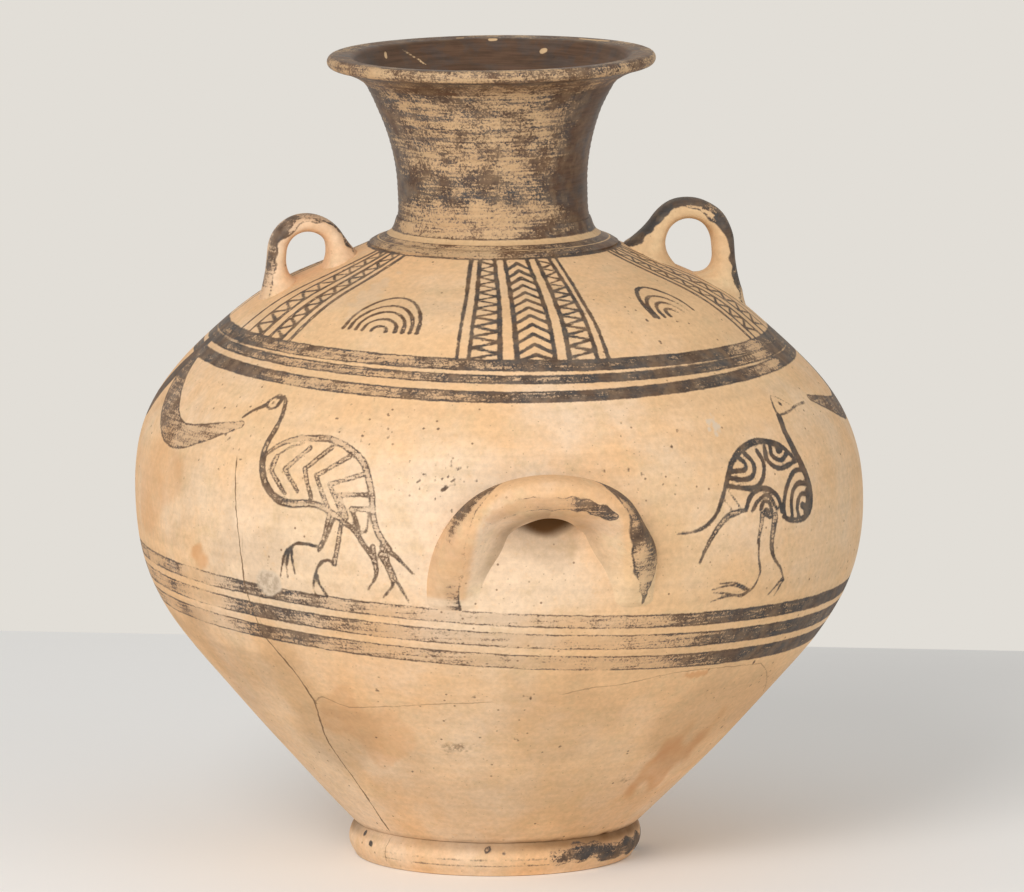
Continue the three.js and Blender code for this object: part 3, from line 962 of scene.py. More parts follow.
# Strength of the painted shade along the groove between foot and body, darker towards the right
GROOVE_SHADE = ((-90, 0.5), (-60, 0.2), (-35, 0.4), (0, 0.55), (30, 0.72), (60, 0.84), (90, 0.6))
COLLAR_WEAR = ((-90, 0.58), (-55, 0.62), (-25, 0.66), (5, 0.6), (25, 0.42), (60, 0.3), (90, 0.35))
COLLAR_EDGE_WEAR = ((-90, 0.42), (-50, 0.46), (-15, 0.48), (8, 0.38), (30, 0.26), (90, 0.26))
COLLAR_BANDS = (
    Band(349.0, 346.9, 0.0, 0.0, COLLAR_WEAR, 0.7),
    Band(346.2, 343.4, 0.0, 0.0, COLLAR_EDGE_WEAR, 0.5),
)
CRACKS = (
    Crack(((-53.5, 246), (-52.5, 222), (-51.7, 200), (-51.4, 184), (-51.5, 172), (-51.0, 160), (-50.8, 146),
           (-48.7, 132), (-47.6, 120), (-47.4, 106), (-49.6, 92), (-51.5, 78), (-51.5, 54), (-52.0, 41),
           (-54.5, 20))),
    Crack(((-47.4, 106), (-44.5, 110), (-42.7, 108.5), (-40.0, 106.2), (-37.8, 105.5), (-29.0, 108.2),
           (-20.0, 111.2), (-8.0, 113.5)), 0.55),
    Crack(((2.8, 117), (9.0, 121), (15.0, 122.2), (26.5, 127), (45.0, 124.2), (49.0, 121), (58.0, 108),
           (65.5, 97)), 0.5),
    Crack(((150, 128), (163, 121), (176, 124), (192, 118), (205, 122)), 0.5),
    Crack(((216, 170), (219, 140), (214, 110), (217, 80), (211, 52)), 0.6),
)
STAINS_AND_SHADE = {
    Layer.FILL: ((-46.2, 177.9, 10.0, 7.8, 1.0, 0.1, (0.84, 1.0)), (32.6, 262, 3.4, 5.0, 1.0, 0.6),
                 (-46, 326, 7, 20, 0.3, 0.4)),
    Layer.SOOT: ((-46.2, 177.9, 9.6, 7.5, 0.45, 0.1, (0.7, 1.0)), (-17.3, 83.2, 9, 3.2, 0.75, 0.4),
                 (-20, 80, 5, 2, 0.5, 0.4), (30, 57, 5, 1.4, 0.7, 0.4), (168, 96, 8, 3, 0.6, 0.4)),
    Layer.RUST: ((-62.2, 186, 8, 6.5, 0.8, 0.25), (-76, 222, 36, 30, 0.42, 0.4),
                 (30, 124, 9, 3, 0.8, 0.25), (41, 67, 17, 30, 0.75, 0.4), (-38, 92, 26, 22, 0.35, 0.5),
                 (140, 215, 34, 26, 0.4, 0.4), (205, 75, 22, 26, 0.5, 0.4)),
    # Darker layer: the first four ovals are painted shade in the slot behind each arch's crown and below
    # it; the next eight, low on the jar, are partly dirt, partly painted shade where the wall turns down
    # and away from the light; the last two are faint darker patches on the left of the belly
    Layer.DIRT: ((0, 222.5, 19, 15, 1.0, 0.05), (180, 222.5, 19, 15, 1.0, 0.05),
                 (0, 211, 20, 18, 0.26, 0.1), (180, 211, 20, 18, 0.26, 0.1), (-52, 96, 52, 50, 0.23, 0.3),
                 (52, 92, 60, 46, 0.18, 0.3), (140, 96, 60, 46, 0.2, 0.3), (232, 92, 50, 46, 0.2, 0.3),
                 (-70, 128, 34, 26, 0.18, 0.35), (0, 40, 160, 34, 0.1, 0.3), (2, 96, 44, 40, 0.11, 0.35),
                 (180, 40, 160, 34, 0.1, 0.3), (-50, 196, 30, 17, 0.13, 0.45),
                 (-66, 236, 20, 30, 0.08, 0.5)),
}
PATCHES = [Patch(layer, *row) for layer, rows in STAINS_AND_SHADE.items() for row in rows]


def link(name: str, data: bpy.types.ID) -> bpy.types.Object:
    """New object in the scene.

    Args:
        name: Name of the object.
        data: Mesh, camera or light that it shows.

    Returns:
        The object.
    """
    made = bpy.data.objects.new(name, data)
    bpy.context.scene.collection.objects.link(made)
    return made


@dataclass
class Piece:
    """A mesh under work: the node that it replaces, its slot and finish, and its bmesh."""

    name: str
    slot: Slot
    material: Material
    shape: BMesh

    def finish(self, dress: Callable[[Array], Dressed], crease: float = 38.0) -> None:
        """Makes the object, with its layers and its place in the frame.

        Args:
            dress: Takes the true vertices and returns the settled vertices and their layers.
            crease: Angle past which an edge is drawn sharp.
        """
        mesh = bpy.data.meshes.new(self.name)
        self.shape.to_mesh(mesh)
        self.shape.free()
        flat = np.empty(len(mesh.vertices) * 3)
        mesh.vertices.foreach_get("co", flat)
        places, layers = dress(flat.reshape(-1, 3) / MM)
        mesh.vertices.foreach_set("co", (places * MM).astype(np.float32).ravel())
        for layer, values in layers.items():
            store = mesh.attributes.new(layer.value, "FLOAT", "POINT")
            store.data.foreach_set("value", values.astype(np.float32))
        mesh.materials.append(self.material)
        mesh.shade_smooth()
        mesh.set_sharp_from_angle(angle=math.radians(crease))
        mesh.update()
        made = link(self.name, mesh)
        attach(made, "root")
        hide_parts(self.name)
        LOG.info("%s: %d vertices", self.name, len(mesh.vertices))


def blank_layers(count: int) -> Layers:
    """Layers of bare, whole clay."""
    return {layer: np.full(count, value) for layer, value in BLANK.items()}


@dataclass(frozen=True)
class PaleBloom:
    """Paleness of the fired clay, which is palest on the belly's front and back and under the arches."""

    middle: float = -12.0
    left: float = 44.0
    right: float = 27.0
    height: float = 222.0
    tall: float = 74.0
    strength: float = 0.92
    arch_wide: float = 9.0
    arch_height: float = 188.0
    arch_tall: float = 18.0
    arch_strength: float = 0.7
    foot_strength: float = 0.5
    least: float = 0.08
    most: float = 1.3

    def at(self, angle: Array, height: Array) -> Array:
        """Paleness at places on the wall.

        Args:
            angle: Angles of the places.
            height: Heights of the places.

        Returns:
            Paleness, from 0 for the warmest clay.
        """
        near = (angle - self.middle + 90.0) % 180.0 - 90.0
        side = np.where(near < 0, self.left, self.right)
        belly = self.strength * np.exp(-((near / side) ** 2) - ((height - self.height) / self.tall) ** 2)
        aside, above = (near + self.middle) / self.arch_wide, (height - self.arch_height) / self.arch_tall
        arch = self.arch_strength * np.exp(-(aside**2) - above**2)
        foot = self.foot_strength * (1 - smooth(height, 30.0, 130.0))
        return np.clip(self.least + belly + arch + foot, 0.0, self.most)


BLOOM = PaleBloom()


def turned_shape(outline: Array, sectors: Sequence[Place]) -> BMesh:
    """Turns a closed outline about the jar's axis, finer where the ornament asks for it.

    Args:
        outline: Radii and heights, up the outside and down the inside.
        sectors: Angle up to which each sector reaches, from -180 on, and its step.

    Returns:
        The turned ring.
    """
    shape = bmesh.new()
    start = -180.0
    for end, step in sectors:
        blocks = math.ceil((end - start) / (step * BLOCK))
        wide = (end - start) / blocks
        for block in range(blocks):
            add_block(shape, outline, start + block * wide, wide, max(1, round(wide / step)))
        start = end
    bmesh.ops.remove_doubles(shape, verts=shape.verts[:], dist=2e-6)
    bmesh.ops.recalc_face_normals(shape, faces=shape.faces[:])
    return shape


def add_block(shape: BMesh, outline: Array, start: float, wide: float, steps: int) -> None:
    """Turns an outline through one block of the whole turn.

    Args:
        shape: Mesh that takes the block.
        outline: Radii and heights.
        start: Angle at which the block starts.
        wide: Angle of the block.
        steps: Number of steps in it.
    """
    block = bmesh.new()
    turn = math.radians(start)
    places = [(r * math.sin(turn), -r * math.cos(turn), z) for r, z in outline]
    corners = [block.verts.new(Vector(place) * MM) for place in places]
    closed = outline[0][0] > 0.0
    edges = [block.edges.new(p) for p in zip(corners, corners[1:] + corners[:1] if closed else corners[1:])]
    bmesh.ops.spin(block, geom=corners + edges, cent=(0, 0, 0), axis=(0, 0, 1), dvec=(0, 0, 0),
                   angle=math.radians(wide), steps=steps, use_merge=False, use_duplicate=False)
    part = bpy.data.meshes.new("block")
    block.to_mesh(part)
    block.free()
    shape.from_mesh(part)
    bpy.data.meshes.remove(part)


@dataclass
class BodySections:
    """Lower body, two rings of the belly and the shoulder, with everything painted on them."""

    material: Material
    cone_spacing: float = 1.5
    lower_spacing: float = 0.95
    upper_spacing: float = 1.2
    dome_spacing: float = 1.25
    inner_spacing: float = 12.0
    cone_sectors: Points = ((FULL_TURN, 0.75),)
    lower_sectors: Points = ((-46.0, 0.75), (-19.0, 0.3), (23.0, 0.75), (54.0, 0.3), (90.0, 0.75))
    upper_sectors: Points = ((-20.0, 0.33), (20.0, 0.5), (90.0, 0.33))
    dome_sectors: Points = ((FULL_TURN, 0.4),)
    outer_reach: float = 0.6
    # heights over which the painted shade above the groove fades out
    groove_shade_fade: Place = (18.8, 22.6)
    brush: Brushwork = field(default_factory=lambda: Brushwork(BODY, painted_motifs()))

    def dress(self, points: Array) -> Dressed:
        """Paints, cracks and stains the outer face, paints shade on it and settles the clay.

        Args:
            points: True places of the vertices.

        Returns:
            Places on the fired jar and the layers there.
        """
        layers = blank_layers(len(points))
        angle, radius, height = polar(points)
        outside = np.flatnonzero(radius > BODY.radius_at(height) - self.outer_reach)
        face = points[outside]
        part = blank_layers(len(face))
        for band in SHOULDER_BANDS + LOW_BANDS + COLLAR_BANDS:
            band.draw(BODY, angle[outside], height[outside], part)
        self.brush.draw(face, part)
        for crack in CRACKS:
            crack.draw(BODY, face, part)
        for patch in PATCHES:
            patch.draw(BODY, face, part)
        # Painted shade on the body just above the groove over the foot
        groove = round_trip(angle[outside], GROOVE_SHADE) * (1 - smooth(height[outside], *self.groove_shade_fade))
        part[Layer.DIRT] = np.maximum(part[Layer.DIRT], groove * (1 + 0.3 * ripple(face, 9.0, 43)))
        part[Layer.BLOOM] = BLOOM.at(angle[outside], height[outside])
        for layer, values in part.items():
            layers[layer][outside] = values
        return HANDS.settle(points), layers

    def ring(self, low: float, high: float, spacing: float) -> Array:
        """Outline of a ring of the wall between two heights, with rows at a spacing."""
        inner = BODY.stretch(low, high, self.inner_spacing, SHAPE.wall)
        return np.vstack([BODY.stretch(low, high, spacing), inner[::-1]])

    def build(self) -> None:
        """Makes the four sections."""
        floor = SHAPE.body_foot + SHAPE.floor
        inner = BODY.stretch(SHAPE.body_foot, SHAPE.seam, self.inner_spacing, SHAPE.wall)
        inner = inner[inner[:, 1] > floor + 1.0]
        boss = SHAPE.foot_top - SHAPE.foot_width - SHAPE.slip
        under = SHAPE.body_foot - SHAPE.boss
        cone = np.vstack([
            [(0.0, under), (boss * 0.5, under), (boss, under), (boss, SHAPE.body_foot)],
            BODY.stretch(SHAPE.body_foot, SHAPE.seam, self.cone_spacing),
            inner[::-1],
            [(inner[0][0] - 6.0, floor), (inner[0][0] * 0.5, floor), (0.0, floor)],
        ])
        opening = BODY.stretch(SHAPE.belly_top, SHAPE.neck_foot, self.dome_spacing)
        lining = BODY.stretch(SHAPE.belly_top, SHAPE.neck_foot, self.inner_spacing, SHAPE.wall)
        lining = lining[lining[:, 0] > SHAPE.neck_foot_radius + 1.0]
        edge = [(SHAPE.neck_foot_radius, lining[-1][1])]
        dome = np.vstack([opening, edge, lining[::-1]])
        plans = (
            ("lower_body", cone, self.cone_sectors),
            ("lower_belly", self.ring(SHAPE.seam, SHAPE.widest, self.lower_spacing),
             self.whole_turn(self.lower_sectors)),
            ("upper_belly", self.ring(SHAPE.widest, SHAPE.belly_top, self.upper_spacing),
             self.whole_turn(self.upper_sectors)),
            ("shoulder", dome, self.dome_sectors),
        )
        for name, outline, sectors in plans:
            Piece(name, Slot.BODY, self.material, turned_shape(outline, sectors)).finish(self.dress)

    @staticmethod
    def whole_turn(front: Points) -> list[Place]:
        """Sectors of the whole turn from those of the front half, which run from -90 to 90.

        Args:
            front: Ends and steps of the front's sectors.

        Returns:
            Ends and steps from -180 to 180.
        """
        later = [(end - 180.0, step) for end, step in front if end > 0.0]
        sooner = [(end + 180.0, step) for end, step in front if end <= 0.0]
        return later + list(front) + sooner + [(180.0, front[[e > 0.0 for e, _ in front].index(True)][1])]


@dataclass
class FootRing:
    """Swelling ring that the jar stands on."""

    material: Material
    rounding: float = 1.6
    step: float = 0.75
    side_points: int = 22
    smudge_level: float = 10.2
    smudge_half: float = 5.0
    smudge_slope: float = 0.05
    smudge_ends: Place = (15.0, 108.0)
    smudge_wear: Points = ((10, 0.86), (14, 0.68), (20, 0.5), (29, 0.38), (90, 0.32), (106, 0.8))
    fringe_wear: float = 0.42
    back_middle: Place = (205.0, 10.0)
    back_half: Place = (24.0, 4.5)
    ruled_levels: Place = (9.8, 6.4)
    other_wear: tuple[float, ...] = (0.0, 0.56, 0.68, 0.5)
    # heights over which the painted shade under the groove rises
    groove: Place = (11.0, 17.4)
    tone: float = 0.15
    spots: tuple[Three, ...] = ((-73.0, 16.0, 1.5), (-66.0, 12.0, 1.3), (-10.5, 15.3, 1.5),
                                (-4.0, 13.4, 0.7), (104.0, 9.0, 1.5), (152.0, 11.0, 1.8),
                                (-140.0, 8.5, 1.6))
    hairline: Crack = Crack(((-54.0, 19.0), (-55.5, 13.0), (-56.3, 2.0)), 0.8)

    def build(self) -> None:
        """Makes the ring."""
        bore = SHAPE.foot_top - SHAPE.foot_width
        base, top, swell = SHAPE.foot_base, SHAPE.foot_top, SHAPE.foot_swell
        t = np.linspace(0, 1, self.side_points)[:, None]
        low, high = np.array([base, self.rounding]), np.array([top - 0.8, SHAPE.foot_height])
        pull = np.array([top + swell, SHAPE.foot_height * 0.5])
        side = (1 - t) ** 2 * low + 2 * t * (1 - t) * pull + t * t * high
        flats = [(bore, self.rounding), (bore + self.rounding, 0.0), (bore + 8, 0.0),
                 (base - self.rounding, 0.0), (base - self.rounding * 0.3, self.rounding * 0.3)]
        outline = np.vstack([flats, side, [(top - 4.0, SHAPE.foot_height), (bore + 4, SHAPE.foot_height),
                                           (bore, SHAPE.foot_height), (bore, 10.0)]])
        shape = turned_shape(outline, [(FULL_TURN, self.step)])
        Piece("foot_ring", Slot.FOOT, self.material, shape).finish(self.dress)

    def dress(self, points: Array) -> Dressed:
        """Patches, lines and dabs of worn paint, and painted shade along the groove.

        Args:
            points: True places of the vertices.

        Returns:
            Places on the fired jar and the layers there.
        """
        layers = blank_layers(len(points))
        angle, radius, height = polar(points)
        outside = radius > SHAPE.foot_base - 3.0
        shaky = ripple(points, 14.0, 37)
        smudge = np.abs(height - self.smudge_level + self.smudge_slope * (angle - 40.0)) - self.smudge_half
        ends = np.maximum(self.smudge_ends[0] - angle, angle - self.smudge_ends[1]) * 0.5
        smudge = np.maximum(smudge, ends) + 1.2 * shaky
        aside, above = np.abs(angle % 360.0 - self.back_middle[0]), np.abs(height - self.back_middle[1])
        beyond = np.maximum(above - self.back_half[1], aside - self.back_half[0]) + 1.5 * shaky
        ruled = np.minimum.reduce([np.abs(height - level) for level in self.ruled_levels]) - 0.2
        ruled += 3.0 * smooth(np.abs(angle + 20.0), 35.0, 45.0)
        spots = [np.hypot((angle - at) * 1.33, height - level) - size for at, level, size in self.spots]
        dabs = np.minimum.reduce(spots) + 0.5 * ripple(points, 4.0, 41)
        marks = np.stack([smudge, beyond, ruled, dabs])
        first = np.argmin(marks, axis=0)
        layers[Layer.PAINT] = np.where(outside, np.clip(marks.min(axis=0), DEEP, FAR), FAR)
        faded = table(angle, self.smudge_wear) + self.fringe_wear * (1 - smooth(-smudge, 0.0, 2.4))
        layers[Layer.WEAR] = np.where(first == 0, faded, np.array(self.other_wear)[first]) + 0.12 * shaky
        # Painted shade on the top of the ring, under the groove
        groove = round_trip(angle, GROOVE_SHADE) * smooth(height, *self.groove) * (1 + 0.06 * shaky)
        layers[Layer.DIRT] = np.where(outside, groove, 0.0)
        layers[Layer.TONE][:] = self.tone
        side = [(SHAPE.foot_base, 0.0), (SHAPE.foot_top + 2.2, SHAPE.foot_height / 2),
                (SHAPE.foot_top, SHAPE.foot_height)]
        self.hairline.draw(Wall(np.array(side)), points, layers)
        return HANDS.settle(points), layers


@dataclass
class NeckAndRim:
    """Collar, neck and rim, all under one coat of worn paint."""

    material: Material
    lip: float = 7.0
    crease_radius: float = 73.0
    crease_rise: float = 2.5
    spigot: float = 12.0
    tube_step: float = 1.0
    rim_step: float = 0.75
    outer_spacing: float = 0.9
    inner_spacing: float = 1.4
    wheel_depth: float = 0.1
    collar_foot: float = 68.9
    collar_face: Points = ((69.3, 345.2), (67.0, 346.6), (64.9, 347.5), (64.1, 347.6), (61.5, 348.9),
                           (59.3, 350.0), (57.6, 351.3), (56.4, 352.9), (55.5, 354.8), (54.8, 357.0),
                           (54.0, 359.0))
    bare_rings: Points = ((58.2, 1.5), (64.5, 0.5))
    neck_wear: Points = ((-90, 0.43), (-58, 0.5), (-38, 0.53), (-15, 0.55), (10, 0.54), (28, 0.47),
                         (42, 0.28), (60, 0.12), (90, 0.12))
    level_wear: Points = ((352, -0.05), (358, 0.06), (366, 0.1), (374, -0.1), (384, -0.06), (392, 0.06),
                          (405, 0.03), (418, 0.0), (428, 0.0), (434, -0.06))
    neck_tone: Points = ((-90, 0.6), (-45, 0.3), (0, 0.25), (22, 0.4), (40, 0.85), (90, 0.85))
    edge_wear: Points = ((-90, 0.72), (-30, 0.59), (20, 0.52), (60, 0.5), (90, 0.5))
    lip_wear: float = 0.46
    inside_wear: float = 0.03
    mouth_line: Points = ((434, 66), (438, 72), (444, 78), (450, 84))
    scars: tuple[tuple[Three, Three, float], ...] = (
        ((-145.0, 446.8, 77.8), (-153.0, 440.0, 72.0), 0.75),
        ((-153.0, 440.0, 72.0), (-162.0, 430.0, 60.8), 0.8),
        ((149.6, 442.6, 74.2), (148.6, 442.9, 74.5), 1.7),
        ((173.0, 448.6, 78.0), (171.0, 448.6, 78.0), 1.3),
        ((-136.0, 445.0, 75.8), (-135.0, 443.0, 74.2), 1.0),
        ((-170.5, 433.0, 63.4), (-172.0, 431.5, 62.0), 0.8),
        ((136.0, 449.6, 84.0), (122.0, 449.6, 84.5), 1.2),
        ((-174.0, 449.4, 82.0), (-176.0, 449.4, 82.0), 1.0))

    def build(self) -> None:
        """Makes the three pieces."""
        plans = (("neck_collar", self.collar(), self.tube_step, self.dress_collar),
                 ("neck", self.neck(), self.tube_step, self.dress_neck),
                 ("rim", self.rim(), self.rim_step, self.dress_rim))
        for name, outline, step, dress in plans:
            Piece(name, Slot.NECK, self.material, turned_shape(outline, [(FULL_TURN, step)])).finish(dress)

    def collar(self) -> Array:
        """Outline of the low ridge of clay in the corner between shoulder and neck.

        Returns:
            Radii and heights.
        """
        marks = np.array(self.collar_face)
        face = smooth_through(marks, np.linspace(0, len(marks) - 1, 45))
        foot = (self.collar_foot, BODY.height_on_top(self.collar_foot) - 1.0)
        return np.vstack([[foot], face, [(53.0, 359.0), (55.6, 346.0), (60.0, 340.0)]])

    def neck(self) -> Array:
        """Outline of the flaring tube with its spigot in the shoulder.

        Returns:
            Radii and heights.
        """
        outer = NECK.stretch(SHAPE.neck_foot, SHAPE.neck_top, self.outer_spacing)
        inner = NECK.stretch(SHAPE.neck_foot, SHAPE.neck_top, self.inner_spacing, SHAPE.neck_wall)
        low = SHAPE.neck_foot - self.spigot
        return np.vstack([[(SHAPE.neck_foot_radius - SHAPE.slip, low)], outer, inner[::-1],
                          [(inner[0][0], low)]])

    def rim(self) -> Array:
        """Outline of the everted lip, with a round edge and a crease under it.

        Returns:
            Radii and heights.
        """
        top, seat = SHAPE.height, SHAPE.neck_top
        edge = self.lip / 2
        turns = np.radians(np.linspace(-90, 90, 13))
        middle = np.array([SHAPE.rim_radius - edge, top - edge])
        lip = middle + edge * np.stack([np.cos(turns), np.sin(turns)], axis=1)
        crease = (self.crease_radius, seat + self.crease_rise)
        below = np.array([(70.2, seat), (71.6, seat + 1.6), crease, (76.5, seat + 4.6), (82.0, seat + 7.0),
                          (SHAPE.rim_radius - edge, top - self.lip)])
        under = smooth_through(below, np.linspace(0, 5, 26))
        inside = NECK.stretch(SHAPE.neck_top - 2.0, SHAPE.neck_top, 2.0, SHAPE.neck_wall)[-1]
        within = np.array([(85.5, top - 0.1), (82.0, top - 0.5), (SHAPE.mouth_radius + 1.0, top - 0.7),
                           (SHAPE.mouth_radius - 1.6, top - 2.0), (74.5, top - 6.0), (69.5, top - 12.0),
                           inside])
        return np.vstack([under[:-1], lip, smooth_through(within, np.linspace(0, 6, 31))])

    def wheel_lines(self, points: Array, depth: float) -> Array:
        """Fine lines that the wheel leaves, as small changes of radius.

        Args:
            points: True places of the vertices.
            depth: Depth of the lines.

        Returns:
            The moved places.
        """
        _, radius, height = polar(points)
        wave = np.sin(height * 1.9 + 0.8 * np.sin(height * 0.37)) + 0.6 * np.sin(height * 3.1 + 1.3)
        moved = points.copy()
        moved[:, :2] *= (1 + depth * wave / np.maximum(radius, 1.0))[:, None]
        return moved

    def coat(self, points: Array, wear: Array, tone: float) -> Layers:
        """Layers of a surface that is painted all over.

        Args:
            points: True places of the vertices.
            wear: How worn the paint is at each of them.
            tone: Tone of the paint.

        Returns:
            The layers.
        """
        layers = blank_layers(len(points))
        layers[Layer.PAINT][:] = DEEP
        layers[Layer.WEAR] = wear
        layers[Layer.TONE][:] = tone
        return layers

    def dress_collar(self, points: Array) -> Dressed:
        """Two bands of paint with bare lines between them.

        Args:
            points: True places of the vertices.

        Returns:
            Places on the fired jar and the layers there.
        """
        angle, radius, _ = polar(points)
        layers = self.coat(points, round_trip(angle, COLLAR_WEAR), 0.6)
        bare = np.maximum.reduce([half - np.abs(radius - ring) for ring, half in self.bare_rings])
        layers[Layer.PAINT] = np.clip(bare * 2.0, DEEP, FAR)
        return HANDS.settle(points), layers

    def dress_neck(self, points: Array) -> Dressed:
        """Paint that is worn through on the front and kept at the sides.

        Args:
            points: True places of the vertices.

        Returns:
            Places on the fired jar and the layers there.
        """
        angle, radius, height = polar(points)
        outside = radius > NECK.radius_at(height) - 2.0
        front = round_trip(angle, self.neck_wear) + table(height, self.level_wear)
        layers = self.coat(points, np.where(outside, front, self.inside_wear), 1.0)
        layers[Layer.TONE] = np.where(outside, round_trip(angle, self.neck_tone), 1.0)
        self.chip(points, layers)
        return HANDS.settle(self.wheel_lines(points, self.wheel_depth)), layers

    def chip(self, points: Array, layers: Layers) -> None:
        """Bares the clay inside the mouth, along a long scratch and at small chips.

        Args:
            points: True places of the vertices.
            layers: Layers of the piece, changed in place.
        """
        for start, end, wide in self.scars:
            ends = []
            for angle, height, radius in (start, end):
                turn = math.radians(angle)
                ends.append(np.array([radius * math.sin(turn), -radius * math.cos(turn), height]))
            gap = np.linalg.norm(from_segment(points, *ends)[1], axis=1)
            layers[Layer.PAINT] = np.maximum(layers[Layer.PAINT], np.clip((wide - gap) * 2.0, DEEP, 2.0))

    def dress_rim(self, points: Array) -> Dressed:
        """Paint on the lip, rubbed off along its edge.

        Args:
            points: True places of the vertices.

        Returns:
            Places on the fired jar and the layers there.
        """
        angle, radius, height = polar(points)
        rubbed = np.maximum(smooth(radius, 87.0, 90.5) * round_trip(angle, self.edge_wear),
                            self.inside_wear)
        outside = radius > table(height, self.mouth_line)
        under = smooth(SHAPE.height - self.lip + 1.0 - height, 0.0, 3.0) * self.lip_wear * outside
        top = smooth(height, SHAPE.height - 2.5, SHAPE.height) * smooth(radius, 77.0, 80.0) * self.lip_wear
        layers = self.coat(points, np.maximum(rubbed, np.maximum(under, top)), 1.0)
        layers[Layer.TONE] = np.where(radius > 79.0, 0.6, 1.0)
        self.chip(points, layers)
        return HANDS.settle(points), layers


def straight_coil(sides: int, steps: int) -> BMesh:
    """Straight roll of clay: a ring of corners drawn out along +Z, one unit a step, closed at both ends.

    Args:
        sides: Corners of the ring.
        steps: Steps along the roll.

    Returns:
        The roll.
    """
    shape = bmesh.new()
    ring = bmesh.ops.create_circle(shape, cap_ends=False, segments=sides, radius=1.0)
    edges = {e for v in ring["verts"] for e in v.link_edges}
    bmesh.ops.spin(shape, geom=ring["verts"] + list(edges), cent=(0, 0, 0), axis=(0, 0, 1),
                   dvec=(0, 0, 1.0), angle=0.0, steps=steps, use_merge=False, use_duplicate=False)
    bmesh.ops.holes_fill(shape, edges=[e for e in shape.edges if e.is_boundary], sides=sides)
    bmesh.ops.recalc_face_normals(shape, faces=shape.faces[:])
    return shape


def wall_gap(points: Array) -> Array:
    """Distance of places from the body's wall, positive outside."""
    _, radius, height = polar(points)
    return (radius - BODY.radius_at(height)) * BODY.slope_at(height)[0]


def melt(points: Array, centre: Array, fillet: Array | float, reach: float) -> Array:
    """Smears a roll of clay on to the wall it stands on.

    Args:
        points: Places on the roll.
        centre: Centre of the roll beside each place.
        fillet: How far the clay is smeared at the wall.
        reach: Height over the wall within which it is smeared.

    Returns:
        The smeared places.
    """
    normal = BODY.normal(points)
    away = points - centre
    away -= (away * normal).sum(axis=1)[:, None] * normal
    away /= np.maximum(np.linalg.norm(away, axis=1), 1.0)[:, None]
    return points + away * (fillet * np.exp(-np.maximum(wall_gap(points), 0.0) / reach))[:, None]


